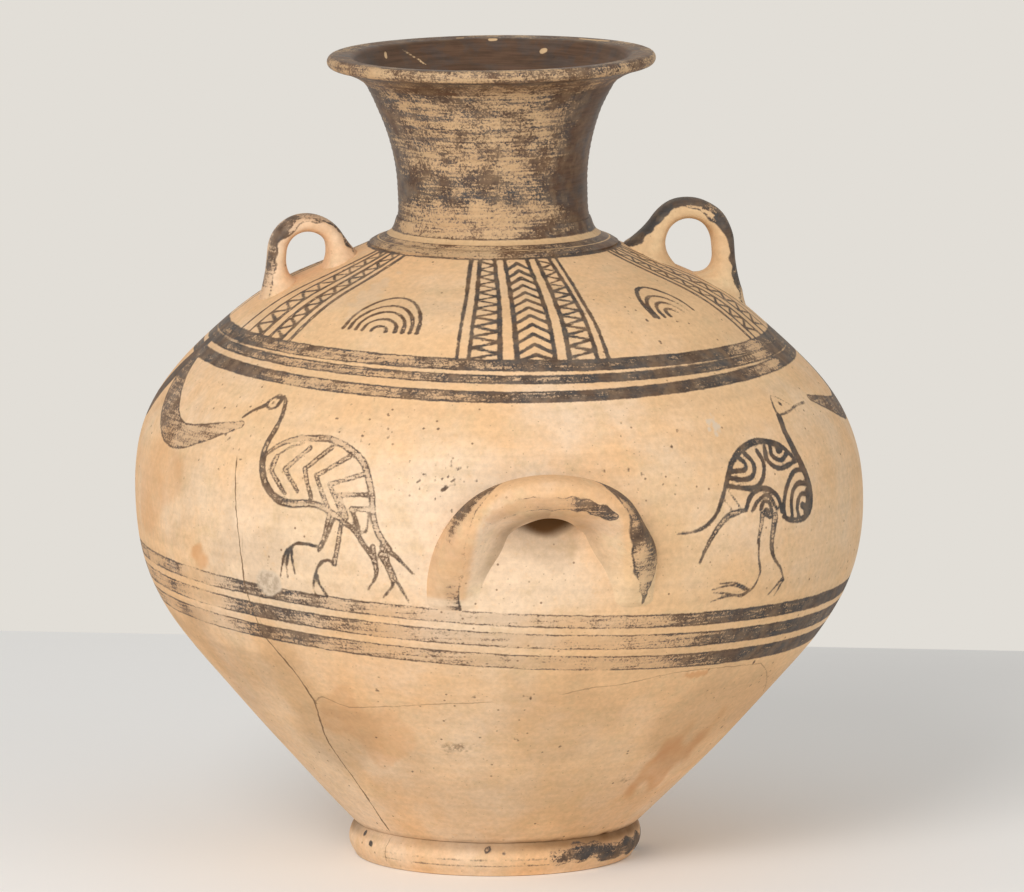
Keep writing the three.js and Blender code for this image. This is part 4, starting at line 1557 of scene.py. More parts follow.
@dataclass
class ShoulderLoop:
    """Strap bent into a loop that stands along the radius and spreads on to the shoulder."""

    name: str
    material: Material
    side: float
    hole: float
    rise: float
    thickness: float = 10.5
    width: float = 19.0
    inner_splay: float = 36.0
    outer_splay: float = 3.0
    foot_thickness: float = 26.0
    foot_width: float = 25.0
    flare: float = 20.0
    place: float = 0.487
    tuck: float = 1.0
    inner_tuck: float = 1.0
    leg_thickness: float = 10.5
    wear: float = 0.45
    crown_wear: float = 0.45
    tone: float = 0.6
    bands: tuple[Place, ...] = ((-0.5, 3.0), (1.5, 3.0))
    spots: float = 3.0
    flush: float = 0.1
    bloom: float = 0.3
    fillet: float = 4.5
    smear: float = 4.0
    squareness: float = 0.8
    uneven: float = 0.25
    sides: int = 44
    steps: int = 150

    def build(self) -> None:
        """Makes the loop."""
        roll = straight_coil(self.sides, self.steps)
        Piece(self.name, Slot.HANDLE, self.material, roll).finish(self.dress, ROLL_CREASE)

    def leg_length(self, start: Array, way: Array) -> float:
        """Length of a straight leg from a point down to the shoulder.

        Args:
            start: Radius and height of the leg's upper end.
            way: Direction of the leg.

        Returns:
            The length.
        """
        reach = np.linspace(0, 60, 601)
        path = start + reach[:, None] * way
        above = path[:, 1] > BODY.height_on_top(path[:, 0])
        return float(reach[np.argmin(above)])

    def dress(self, points: Array) -> Dressed:
        """Bends the roll into the loop, spreads its feet, paints its back and paints shade inside the loop.

        Args:
            points: Places on the straight roll.

        Returns:
            Places on the fired jar and the layers there.
        """
        coil = points * MM
        bow = (self.hole + self.thickness) / 2
        reach = SHAPE.neck_foot_radius + self.place * (SHAPE.belly_top_radius - SHAPE.neck_foot_radius)
        middle = np.array([reach, float(BODY.height_on_top(reach)) + self.rise])
        first, last = math.pi - math.radians(self.inner_splay), math.radians(self.outer_splay)
        arc = bow * (first - last)
        spots = [middle + bow * np.array([math.cos(a), math.sin(a)]) for a in (first, last)]
        ways = [np.array([-math.sin(first), math.cos(first)]), np.array([math.sin(last), -math.cos(last)])]
        inner, outer = (self.leg_length(s, w) + SHAPE.wall for s, w in zip(spots, ways))
        total = inner + arc + outer
        run = coil[:, 2] / self.steps * total
        on_arc = np.clip(run - inner, 0, arc)
        turn = first - on_arc / bow
        straight = run - inner - on_arc
        centre = np.stack([middle[0] + bow * np.cos(turn) + straight * np.sin(turn),
                           middle[1] + bow * np.sin(turn) - straight * np.cos(turn)], axis=1)
        spread = (1 - np.clip((np.minimum(run, total - run) - SHAPE.wall) / self.flare, 0, 1)) ** 2
        later = smooth(run, inner + arc * 0.4, inner + arc)
        strap = self.thickness + (self.leg_thickness - self.thickness) * later
        thick = strap + (self.foot_thickness - strap) * spread
        wide = self.width + (self.foot_width - self.width) * spread
        outer_leg = smooth(run, inner + arc * 0.55, inner + arc)
        inner_leg = 1 - smooth(run, inner, inner + arc * 0.4)
        out = np.sign(coil[:, 0]) * np.abs(coil[:, 0]) ** self.squareness * thick / 2
        depth = thick / 2 - out
        out -= (self.tuck * outer_leg + self.inner_tuck * inner_leg) * (thick - strap) / 2
        side = -np.sign(coil[:, 1]) * np.abs(coil[:, 1]) ** self.squareness * wide / 2
        true = np.stack([centre[:, 0] + out * np.cos(turn), side, centre[:, 1] + out * np.sin(turn)],
                        axis=1)
        true += self.uneven * ripple(true, 18.0, 5)[:, None] * np.array([0.5, 1.0, 0.5])
        spine = np.stack([centre[:, 0], np.zeros(len(true)), centre[:, 1]], axis=1)
        outside = smooth(coil[:, 0], -0.2, 0.5)
        less = np.where(outer_leg > 0.5, self.fillet - 4.5 + 2.0 * self.tuck, self.fillet - 1.1)
        true = melt(true, spine, self.fillet - outside * less, self.smear)
        layers = blank_layers(len(true))
        share = (run - inner) / arc
        band = table(share, self.bands) + 0.7 * ripple(true, 7.0, 11)
        crown = np.exp(-(((share - 0.55) / 0.2) ** 2))
        layers[Layer.PAINT] = np.clip(depth - band - self.spots * crown, DEEP, FAR)
        foot = smooth(wall_gap(true), 0.5, 7.0)
        layers[Layer.WEAR] = np.where(depth < band, self.wear, self.crown_wear)
        layers[Layer.WEAR] += 0.16 * ripple(true, 15.0, 13) + 0.4 * (1 - foot) * (outer_leg > 0.5)
        layers[Layer.TONE][:] = self.tone
        layers[Layer.BLOOM][:] = self.bloom
        layers[Layer.RUST] = self.flush * (1 + 0.6 * ripple(true, 11.0, 17))
        layers[Layer.RUST] += 0.3 * crown * smooth(coil[:, 0], 0.0, 0.5)
        arched = smooth(share, 0.0, 0.2) * (1 - smooth(share, 0.8, 1.0))
        # Painted shade on the inner face of the loop, under the middle of its arch
        layers[Layer.DIRT] = 0.22 * smooth(-coil[:, 0], 0.55, 0.95) * arched
        true[:, :2] *= self.side
        return HANDS.settle(true), layers


@dataclass
class BellyArch:
    """Thick roll bent into an arch: its legs melt into the belly and its crown stands clear of it."""

    name: str
    material: Material
    side: float
    drop: float = 32.0
    outer_half: float = 65.5
    outer_rise: float = 66.0
    outer_swell: float = 0.17
    inner_half: float = 34.0
    inner_rise: float = 47.0
    leg_crest: float = 2.2
    crown_crest: float = 34.5
    slot: float = 13.0
    top_gap: float = 21.0
    sunk: float = 0.5
    bulge: float = 3.5
    tuck: float = 15.0
    smear: float = 6.0
    taper: float = 0.09
    uneven: float = 0.3
    paint_edge: Points = ((0.0, -0.2), (0.3, -0.19), (0.7, 0.2), (0.85, 0.52), (0.95, 0.8))
    leg_paint: Points = ((0.0, 0.0), (0.12, 0.24), (0.3, 0.5), (0.5, 1.4))
    strip_middle: Points = ((0.0, -0.34), (40.0, 0.08))
    side_wear: Points = ((-90, 0.62), (-84, 0.5), (-74, 0.88), (-55, 0.84), (-46, 0.66), (-40, 0.4),
                         (-28, 0.36), (-20, 0.7), (0, 0.96), (16, 0.74), (24, 0.34), (42, 0.3), (60, 0.4),
                         (78, 0.52), (90, 0.6))
    strip_wear: Points = ((-46, 1.0), (-22, 0.98), (-12, 0.8), (4, 0.76), (12, 0.66), (18, 0.52),
                          (30, 0.46), (40, 0.56))
    sides: int = 72
    steps: int = 180

    def build(self) -> None:
        """Makes the arch."""
        roll = straight_coil(self.sides, self.steps)
        Piece(self.name, Slot.HANDLE, self.material, roll).finish(self.dress, ROLL_CREASE)

    def rise_over_wall(self, coil: Array, lift: Array, below: Array) -> Array:
        """Heights of the arch's surface over the wall.

        Args:
            coil: Places on the roll, -1 to 1 from its inner to its outer edge, with the front positive.
            lift: How high on the arch each place is, from 0 at the roots to 1 at the crown.
            below: How far each place is past the roots, from 0 to 1 at the end of the smear.

        Returns:
            Heights in millimetres.
        """
        u = coil[:, 0]
        peak = self.leg_crest + (self.crown_crest - self.leg_crest) * lift**1.2
        peak = peak * (1 - smooth(below, 0.0, 1.0)) - self.sunk * below
        low = (self.slot + self.sunk) * smooth(lift, 0.86, 0.985) - self.sunk
        high = (self.top_gap + self.sunk) * smooth(lift, 0.6, 0.95) - self.sunk
        crest = -0.1 + 0.32 * smooth(lift, 0.0, 0.6)
        inside, outside = np.clip((crest - u) / (1 + crest), 0, 1), np.clip((u - crest) / (1 - crest), 0, 1)
        cove, lip = (1 + np.cos(math.pi * inside)) / 2, 1 - inside**2.6
        inner = low + (peak - low) * (cove + (lip - cove) * smooth(lift, 0.78, 0.97))
        outer = high + (peak - high) * (1 - outside**2.5)
        behind = low + (high - low) * (u + 1) / 2 - self.bulge * np.abs(coil[:, 1])
        return np.where(coil[:, 1] < 0, behind, np.where(u < crest, inner, outer))

    def dress(self, points: Array) -> Dressed:
        """Bends the roll into the arch on the wall, paints its outer face and paints shade behind its
        crown.

        Args:
            points: Places on the straight roll.

        Returns:
            Places on the fired jar and the layers there.
        """
        coil = points * MM
        u, front = coil[:, 0], coil[:, 1] > 0
        swing = -self.tuck + (180.0 + 2 * self.tuck) * coil[:, 2] / self.steps
        turn = np.radians(np.clip(swing, 0.0, 180.0))
        below = np.clip(np.maximum(-swing, swing - 180.0) / self.tuck, 0, 1)
        lift = np.sin(turn)
        share = (u * (1 - 0.3 * below**2) + 1) / 2
        lean = np.cos(turn)
        inner = self.inner_half * np.sign(lean) * np.abs(lean) ** (2.05 - 1.05 * smooth(lift, 0.45, 0.9))
        pinch = np.where(lean < 0, self.taper * (1 - smooth(lift, 0.0, 0.5)), 0.0)
        outer = self.outer_half * lean * (1 + self.outer_swell * lift**2 - pinch)
        across = -(inner + (outer - inner) * share)
        up = lift * (self.inner_rise + (self.outer_rise - self.inner_rise) * share) - self.smear * below
        height = SHAPE.widest - self.drop + up
        foot = np.stack([across, -np.sqrt(BODY.radius_at(height) ** 2 - across**2), height], axis=1)
        normal, rise = BODY.normal(foot), self.rise_over_wall(coil, lift, below)
        true = foot + rise[:, None] * normal
        true += self.uneven * (ripple(true, 24.0, 3) * smooth(rise, 0.0, 6.0))[:, None] * normal
        layers = self.paint(true, u, front, lift, np.degrees(turn) - 90.0)
        # Painted shade on the back of the crown, in the slot against the wall
        layers[Layer.DIRT] = np.maximum(layers[Layer.DIRT],
                                        smooth(-coil[:, 1], 0.1, 0.5) * smooth(lift, 0.7, 0.9))
        true[:, :2] *= self.side
        return HANDS.settle(true), layers

    def paint(self, true: Array, u: Array, front: Array, lift: Array, along: Array) -> Layers:
        """Paint on the outer face and in a strip across the crown, with the stains between them and painted
        shade.

        Args:
            true: Places of the vertices.
            u: Place across the roll, -1 to 1 from the inner edge to the outer one.
            front: Whether each vertex is on the front.
            lift: How high on the arch each place is, from 0 to 1.
            along: Angle round the arch, 0 at the crown and negative on its left.

        Returns:
            Layers of the arch.
        """
        layers = blank_layers(len(true))
        edge = table(lift, self.paint_edge)
        face = (edge - u) * 15.0 + 0.7 * ripple(true, 15.0, 19) + 5.0 * np.exp(-((along / 21.0) ** 2))
        narrow = (np.abs(u - 0.42) - table(lift, self.leg_paint)) * 15.0
        face = np.where(along > 0, np.maximum(face, narrow + 0.8 * ripple(true, 6.0, 47)), face)
        reach = 0.25 - 0.12 * smooth(along, 16.0, 40.0)
        strip = (np.abs(u - table(np.abs(along), self.strip_middle)) - reach) * 14.0
        strip = strip + 16.0 * smooth(np.abs(along), 34.0, 42.0) + 0.5 * ripple(true, 9.0, 29)
        strip = np.where(strip < 0, 3.0 * strip, strip)
        layers[Layer.PAINT] = np.where(front, np.clip(np.minimum(face, strip), DEEP, FAR), FAR)
        sides, tops = table(along, self.side_wear), table(along, self.strip_wear)
        rimward = smooth((u - edge) / (1 - edge), 0.3, 0.55)
        left = 0.92 + (sides - 0.92) * np.where(along < -78.0, 1 - rimward, rimward)
        sides = np.where(along < 0, left, sides + 0.26 * (1 - rimward))
        layers[Layer.WEAR] = np.where(strip < face, tops, sides) + 0.1 * ripple(true, 12.0, 23)
        layers[Layer.TONE][:] = np.where(along > 0, 0.3, 0.75)
        inner = smooth(edge - u, 0.05, 0.35)
        layers[Layer.BLOOM] = 0.12 + 0.75 * inner * (1 - 0.6 * smooth(lift, 0.8, 1.0))
        layers[Layer.RUST] = 0.34 * (1 - inner) * smooth(-along, 30.0, 60.0)
        layers[Layer.RUST] += 0.14 * (1 - smooth(np.abs(along), 20.0, 50.0))
        layers[Layer.RUST] += 0.26 * smooth(-strip, 0.0, 3.0) * smooth(-along, -6.0, 14.0)
        angle, _, height = polar(true)
        melted = 1 - smooth(lift, 0.02, np.where(along > 0, 0.5, 0.08))
        layers[Layer.BLOOM] += melted * (BLOOM.at(angle, height) - layers[Layer.BLOOM])
        layers[Layer.RUST] *= 1 - melted
        # Painted shade along the inner edges of the legs where they meet the wall, stronger on the left
        # leg, and at the slot's edge under the crown
        crevice_shade = smooth(-u, 0.35, 0.85) * (1 - 0.6 * smooth(-u, 0.85, 1.0)) * smooth(lift, 0.1, 0.45)
        layers[Layer.DIRT] = crevice_shade * np.where(along < 0, 0.4, 0.22)
        layers[Layer.DIRT] += 0.3 * smooth(-u, 0.86, 1.0) * smooth(lift, 0.94, 1.0)
        # A little darker over the crown
        layers[Layer.DIRT] += 0.07 * (1 - smooth(np.abs(along), 35.0, 60.0))
        return layers


@dataclass(frozen=True)
class ClayFinish:
    """Colours and surface of one fired finish, as linear colours."""

    name: str
    pale: Colour
    warm: Colour
    grey: Colour
    greyness: float
    roughness: float
    paint_roughness: float
    brown: Colour = (0.108, 0.061, 0.036)
    black: Colour = (0.043, 0.043, 0.045)
    stain: Colour = (0.30, 0.18, 0.112)
    # colour of dirt and of painted shade
    dirt_and_shade: Colour = (0.12, 0.05, 0.012)
    rust: Colour = (0.66, 0.33, 0.14)
    plaster: Colour = (0.70, 0.55, 0.40)
    soot: Colour = (0.22, 0.14, 0.08)
    crack: Colour = (0.16, 0.09, 0.045)
    film: float = 0.62
    bump: float = 0.35
    bump_depth: float = 0.0004
    paint_relief: float = 0.25
    crack_depth: float = 1.6
    specular: float = 0.16


class NodeBench:
    """Short ways to add and link shader nodes in one tree."""

    def __init__(self, tree: bpy.types.NodeTree) -> None:
        """Starts on a tree with the places on the piece, in its own coordinates."""
        self.tree = tree
        self.places = self.add("ShaderNodeTexCoord").outputs["Object"]

    def add(self, kind: str, feeds: Feeds | None = None, **settings: object) -> bpy.types.Node:
        """New node with its settings and what feeds its inputs.

        Args:
            kind: Type of the node.
            feeds: Outputs or plain values for its inputs, by name or number.
            settings: Properties to set on it.

        Returns:
            The node.
        """
        node = self.tree.nodes.new(kind)
        for key, value in settings.items():
            setattr(node, key, value)
        for key, value in (feeds or {}).items():
            self.feed(node.inputs[key], value)
        return node

    def feed(self, socket: Socket, value: object) -> None:
        """Links a socket, or sets its value.

        Args:
            socket: Input to feed.
            value: An output to link, or a plain value.
        """
        if isinstance(value, Socket):
            self.tree.links.new(value, socket)
        elif isinstance(value, tuple) and len(value) == 3 and socket.type == "RGBA":
            socket.default_value = (*value, 1.0)
        else:
            socket.default_value = value

    def math(self, operation: str, *values: object, clamp: bool = False) -> Socket:
        """Result of a math node."""
        feeds = dict(enumerate(values))
        return self.add("ShaderNodeMath", feeds, operation=operation, use_clamp=clamp).outputs[0]

    def times(self, first: object, second: object, clamp: bool = False) -> Socket:
        """Product of two values."""
        return self.math("MULTIPLY", first, second, clamp=clamp)

    def plus(self, first: object, second: object, clamp: bool = False) -> Socket:
        """Sum of two values."""
        return self.math("ADD", first, second, clamp=clamp)

    def minus(self, first: object, second: object) -> Socket:
        """Difference of two values."""
        return self.math("SUBTRACT", first, second)

    def blend(self, share: object, first: object, second: object, mode: str = "MIX") -> Socket:
        """Two colours mixed."""
        feeds = {"Factor": share, 6: first, 7: second}
        return self.add("ShaderNodeMix", feeds, data_type="RGBA", blend_type=mode).outputs[2]

    def step(self, value: object, low: object, high: object, start: float = 0.0,
             end: float = 1.0) -> Socket:
        """Smooth step of a value between two edges."""
        feeds = {"Value": value, "From Min": low, "From Max": high, "To Min": start, "To Max": end}
        return self.add("ShaderNodeMapRange", feeds, interpolation_type="SMOOTHSTEP").outputs["Result"]

    def noise(self, scale: float, detail: float = 3.0, rough: float = 0.55, squash: Three | None = None,
              shift: Three = (0.0, 0.0, 0.0)) -> Socket:
        """Noise on the piece, in features per metre, squashed along axes or shifted if asked.

        Args:
            scale: Features per metre.
            detail: Number of finer octaves.
            rough: Strength of those octaves.
            squash: Scale along each axis.
            shift: Shift along each axis.

        Returns:
            The noise, from 0 to 1.
        """
        where = self.places
        if squash is not None or any(shift):
            moved = {"Vector": where, "Scale": squash or (1.0, 1.0, 1.0), "Location": shift}
            where = self.add("ShaderNodeMapping", moved).outputs["Vector"]
        feeds = {"Vector": where, "Scale": scale, "Detail": detail, "Roughness": rough}
        return self.add("ShaderNodeTexNoise", feeds).outputs["Fac"]

    def cells(self, scale: float) -> tuple[Socket, Socket]:
        """Distance from the nearest random point, and that point's random colour."""
        node = self.add("ShaderNodeTexVoronoi", {"Vector": self.places, "Scale": scale})
        return node.outputs["Distance"], node.outputs["Color"]

    def layer(self, layer: Layer) -> Socket:
        """A value that the vertices carry."""
        return self.add("ShaderNodeAttribute", attribute_name=layer.value).outputs["Fac"]


def effect_group(name: str, inputs: dict[str, str], outputs: dict[str, str],
                 build: Callable[[NodeBench, Sockets], Sockets]) -> bpy.types.NodeTree:
    """Shader node group that several finishes share.

    Args:
        name: Name of the group.
        inputs: Names and socket types of its inputs.
        outputs: Names and socket types of its outputs.
        build: Adds the nodes and returns the outputs by name.

    Returns:
        The node group.
    """
    tree = bpy.data.node_groups.new(name, "ShaderNodeTree")
    for way, sockets in (("INPUT", inputs), ("OUTPUT", outputs)):
        for key, kind in sockets.items():
            tree.interface.new_socket(name=key, in_out=way, socket_type=kind)
    bench = NodeBench(tree)
    entry = bench.add("NodeGroupInput")
    bench.add("NodeGroupOutput", build(bench, {key: entry.outputs[key] for key in inputs}))
    return tree


VALUE, COLOUR = "NodeSocketFloat", "NodeSocketColor"


def fired_clay(bench: NodeBench, given: Sockets) -> Sockets:
    """Mottled, speckled clay with faint lines from the wheel.

    Args:
        bench: Bench of the group's tree.
        given: Inputs of the group by name.

    Returns:
        Outputs of the group by name.
    """
    broad, middling = bench.noise(7.0, 3.0, 0.55), bench.noise(26.0, 4.0, 0.62)
    fine, grit = bench.noise(330.0, 3.0, 0.6), bench.noise(1500.0, 2.0, 0.6)
    wheel = bench.noise(1.0, 4.0, 0.6, (5.0, 5.0, 170.0))
    drift = bench.noise(4.6, 3.0, 0.5, None, (3.1, 1.7, 0.4))
    patch = bench.plus(bench.times(broad, 0.6), bench.times(middling, 0.4))
    patch = bench.minus(patch, bench.times(given["Bloom"], 0.22))
    colour = bench.blend(bench.step(patch, 0.27, 0.53), given["Pale"], given["Warm"])
    blotch = bench.noise(64.0, 5.0, 0.66, None, (1.3, 4.1, 2.2))
    colour = bench.blend(bench.step(blotch, 0.48, 0.7, 0.0, 0.46), colour, given["Grey"])
    fleck = bench.noise(190.0, 5.0, 0.72, None, (5.2, 0.7, 3.3))
    colour = bench.blend(bench.step(fleck, 0.52, 0.76, 0.0, 0.5), colour, given["Warm"])
    grey = bench.times(bench.step(drift, 0.4, 0.66), given["Greyness"])
    colour = bench.blend(grey, colour, given["Grey"])
    shade = bench.plus(bench.step(fine, 0.2, 0.8, 0.9, 1.07), bench.step(wheel, 0.3, 0.7, -0.05, 0.04))
    shade = bench.plus(shade, bench.step(grit, 0.3, 0.7, -0.02, 0.02))
    colour = bench.blend(1.0, colour, combine(bench, shade), "MULTIPLY")
    gap, pick = bench.cells(170.0)
    dots = bench.times(bench.step(gap, 0.06, 0.16, 1.0, 0.0), bench.step(chance(bench, pick), 0.62, 0.68))
    crowd = bench.step(bench.noise(14.0, 3.0, 0.6, None, (7.0, 2.0, 5.0)), 0.42, 0.56)
    dots = bench.times(dots, crowd)
    small, other = bench.cells(420.0)
    pits = bench.times(bench.step(small, 0.08, 0.24, 1.0, 0.0), bench.step(chance(bench, other), 0.86, 0.9))
    marks = bench.math("MAXIMUM", dots, bench.times(pits, 0.5))
    colour = bench.blend(bench.times(marks, 0.8), colour, (0.17, 0.09, 0.05))
    height = bench.plus(bench.times(fine, 0.3), bench.times(wheel, 0.35))
    height = bench.minus(height, bench.times(marks, 0.5))
    rough = bench.step(middling, 0.3, 0.7, -0.06, 0.06)
    return {"Colour": colour, "Height": height, "Unevenness": rough}


def combine(bench: NodeBench, value: Socket) -> Socket:
    """A value as a grey colour."""
    return bench.add("ShaderNodeCombineColor", dict.fromkeys(range(3), value)).outputs["Color"]


def chance(bench: NodeBench, colour: Socket) -> Socket:
    """One channel of a random colour."""
    return bench.add("ShaderNodeSeparateColor", {"Color": colour}).outputs["Red"]


def worn_paint(bench: NodeBench, given: Sockets) -> Sockets:
    """Brushed slip paint that has flaked, least along the edges of a stroke.

    Args:
        bench: Bench of the group's tree.
        given: Inputs of the group by name.

    Returns:
        Outputs of the group by name.
    """
    soft, crisp = bench.noise(150.0, 2.0, 0.5), bench.noise(800.0, 2.0, 0.5)
    shaky = bench.times(bench.minus(soft, 0.5), 1.3)
    shaky = bench.plus(shaky, bench.times(bench.minus(crisp, 0.5), 1.0))
    edge = bench.plus(given["Distance"], shaky)
    cover = bench.step(edge, -0.45, 0.5, 1.0, 0.0)
    rind = bench.step(edge, -1.5, -0.2)
    flake, patch = bench.noise(760.0, 5.0, 0.78), bench.noise(68.0, 4.0, 0.62)
    brushed = bench.noise(1.0, 4.0, 0.62, (38.0, 38.0, 640.0))
    grain = bench.plus(bench.times(flake, 0.46), bench.times(brushed, 0.28))
    grain = bench.plus(grain, bench.times(patch, 0.26))
    bar = bench.plus(bench.times(given["Wear"], 0.34), 0.305)
    bar = bench.minus(bar, bench.times(rind, 0.09))
    kept = bench.step(bench.minus(grain, bar), -0.04, 0.045)
    film = bench.times(bench.minus(1.0, given["Wear"]), given["Film"])
    film = bench.plus(film, 0.06)
    film = bench.times(film, bench.step(brushed, 0.3, 0.7, 0.7, 1.25))
    thin = bench.step(bench.noise(130.0, 3.0, 0.6, None, (2.0, 6.0, 1.0)), 0.32, 0.62, 0.26, 0.0)
    load = bench.minus(1.0, bench.times(thin, bench.step(given["Wear"], 0.0, 0.3, 0.12, 1.0)))
    solid = bench.times(bench.times(bench.minus(0.97, film), kept), load)
    mask = bench.times(cover, bench.plus(film, solid))
    hue = bench.plus(bench.step(patch, 0.36, 0.66, -0.45, 0.45), given["Tone"], clamp=True)
    dark = bench.blend(hue, given["Black"], given["Brown"])
    colour = bench.blend(kept, given["Stain"], dark)
    shade = bench.step(brushed, 0.3, 0.7, 0.75, 1.35)
    colour = bench.blend(1.0, colour, combine(bench, shade), "MULTIPLY")
    return {"Mask": mask, "Colour": colour}


def hair_crack(bench: NodeBench, given: Sockets) -> Sockets:
    """Thin dark line along a crack, open here and closed there.

    Args:
        bench: Bench of the group's tree.
        given: Inputs of the group by name.

    Returns:
        Outputs of the group by name.
    """
    waver = bench.times(bench.minus(bench.noise(220.0, 3.0, 0.6), 0.5), 2.2)
    wide = bench.step(bench.noise(60.0, 2.0, 0.5), 0.35, 0.7, 0.1, 0.6)
    wide = bench.times(wide, given["Strength"])
    gap = bench.math("ABSOLUTE", bench.plus(given["Distance"], waver))
    line = bench.step(bench.minus(gap, wide), 0.0, 0.3, 1.0, 0.0)
    return {"Mask": bench.times(line, given["Strength"], clamp=True)}


class Kiln:
    """Makes the finishes from the shared effects."""

    def __init__(self) -> None:
        """Makes the shared effects."""
        self.clay = effect_group(
            "Fired clay", {"Pale": COLOUR, "Warm": COLOUR, "Grey": COLOUR, "Greyness": VALUE,
                           "Bloom": VALUE},
            {"Colour": COLOUR, "Height": VALUE, "Unevenness": VALUE}, fired_clay)
        self.paint = effect_group(
            "Worn paint", {"Distance": VALUE, "Wear": VALUE, "Tone": VALUE, "Brown": COLOUR,
                           "Black": COLOUR, "Stain": COLOUR, "Film": VALUE},
            {"Mask": VALUE, "Colour": COLOUR}, worn_paint)
        self.crack = effect_group("Hair crack", {"Distance": VALUE, "Strength": VALUE}, {"Mask": VALUE},
                                  hair_crack)

    def place(self, bench: NodeBench, group: bpy.types.NodeTree, **values: object) -> bpy.types.Node:
        """A shared effect in a material, with its own values."""
        return bench.add("ShaderNodeGroup", values, node_tree=group)

    def fire(self, finish: ClayFinish) -> Material:
        """Material of a finish.

        Args:
            finish: Colours and surface.

        Returns:
            The material.
        """
        material = bpy.data.materials.new(finish.name)
        material.use_nodes = True
        tree = material.node_tree
        tree.nodes.clear()
        bench = NodeBench(tree)
        clay = self.place(bench, self.clay, Pale=finish.pale, Warm=finish.warm, Grey=finish.grey,
                          Greyness=finish.greyness, Bloom=bench.layer(Layer.BLOOM))
        paint = self.place(bench, self.paint, Distance=bench.layer(Layer.PAINT),
                           Wear=bench.layer(Layer.WEAR), Tone=bench.layer(Layer.TONE), Brown=finish.brown,
                           Black=finish.black, Stain=finish.stain, Film=finish.film)
        crack = self.place(bench, self.crack, Distance=bench.layer(Layer.CRACK),
                           Strength=bench.layer(Layer.OPEN))
        rust = bench.times(bench.layer(Layer.RUST), bench.noise(60.0, 4.0, 0.6))
        colour = bench.blend(bench.times(rust, 1.7, clamp=True), clay.outputs["Colour"], finish.rust)
        # Dirt and painted shade from the darker layer pull the colour towards dark brown
        colour = bench.blend(bench.layer(Layer.DIRT), colour, finish.dirt_and_shade)
        scuff = bench.times(bench.layer(Layer.SOOT), bench.step(bench.noise(300.0, 4.0, 0.7), 0.35, 0.6))
        colour = bench.blend(paint.outputs["Mask"], colour, paint.outputs["Colour"])
        fill = bench.layer(Layer.FILL)
        colour = bench.blend(bench.times(fill, 0.96), colour, finish.plaster)
        colour = bench.blend(scuff, colour, finish.soot)
        colour = bench.blend(bench.times(crack.outputs["Mask"], 0.85), colour, finish.crack)
        rough = bench.plus(clay.outputs["Unevenness"], finish.roughness)
        gloss = finish.paint_roughness - finish.roughness
        rough = bench.plus(rough, bench.times(paint.outputs["Mask"], gloss), clamp=True)
        height = bench.plus(clay.outputs["Height"], bench.times(paint.outputs["Mask"], finish.paint_relief))
        height = bench.minus(height, bench.times(crack.outputs["Mask"], finish.crack_depth))
        relief = {"Height": height, "Strength": finish.bump, "Distance": finish.bump_depth}
        bump = bench.add("ShaderNodeBump", relief).outputs["Normal"]
        surface = {"Base Color": colour, "Roughness": rough, "Normal": bump}
        shader = bench.add("ShaderNodeBsdfPrincipled", surface)
        shader.inputs["Specular IOR Level"].default_value = finish.specular
        bench.add("ShaderNodeOutputMaterial", {"Surface": shader.outputs["BSDF"]})
        return material


PALE, WARM, GREY = (0.87, 0.65, 0.455), (0.84, 0.515, 0.27), (0.68, 0.475, 0.265)
FINISHES = {
    Slot.BODY: ClayFinish("Buff clay with bands and figures", PALE, WARM, GREY, 0.45, 0.66, 0.58),
    Slot.FOOT: ClayFinish("Buff clay of the foot", PALE, WARM, GREY, 0.35, 0.7, 0.56),
    Slot.NECK: ClayFinish("Worn dark coat of the neck", (0.70, 0.48, 0.27), (0.62, 0.39, 0.20), GREY, 0.3,
                          0.6, 0.46, (0.088, 0.046, 0.028), (0.05, 0.05, 0.053), film=0.42),
    Slot.HANDLE: ClayFinish("Buff clay of the handles", PALE, WARM, (0.74, 0.56, 0.33), 0.7, 0.66, 0.52),
}


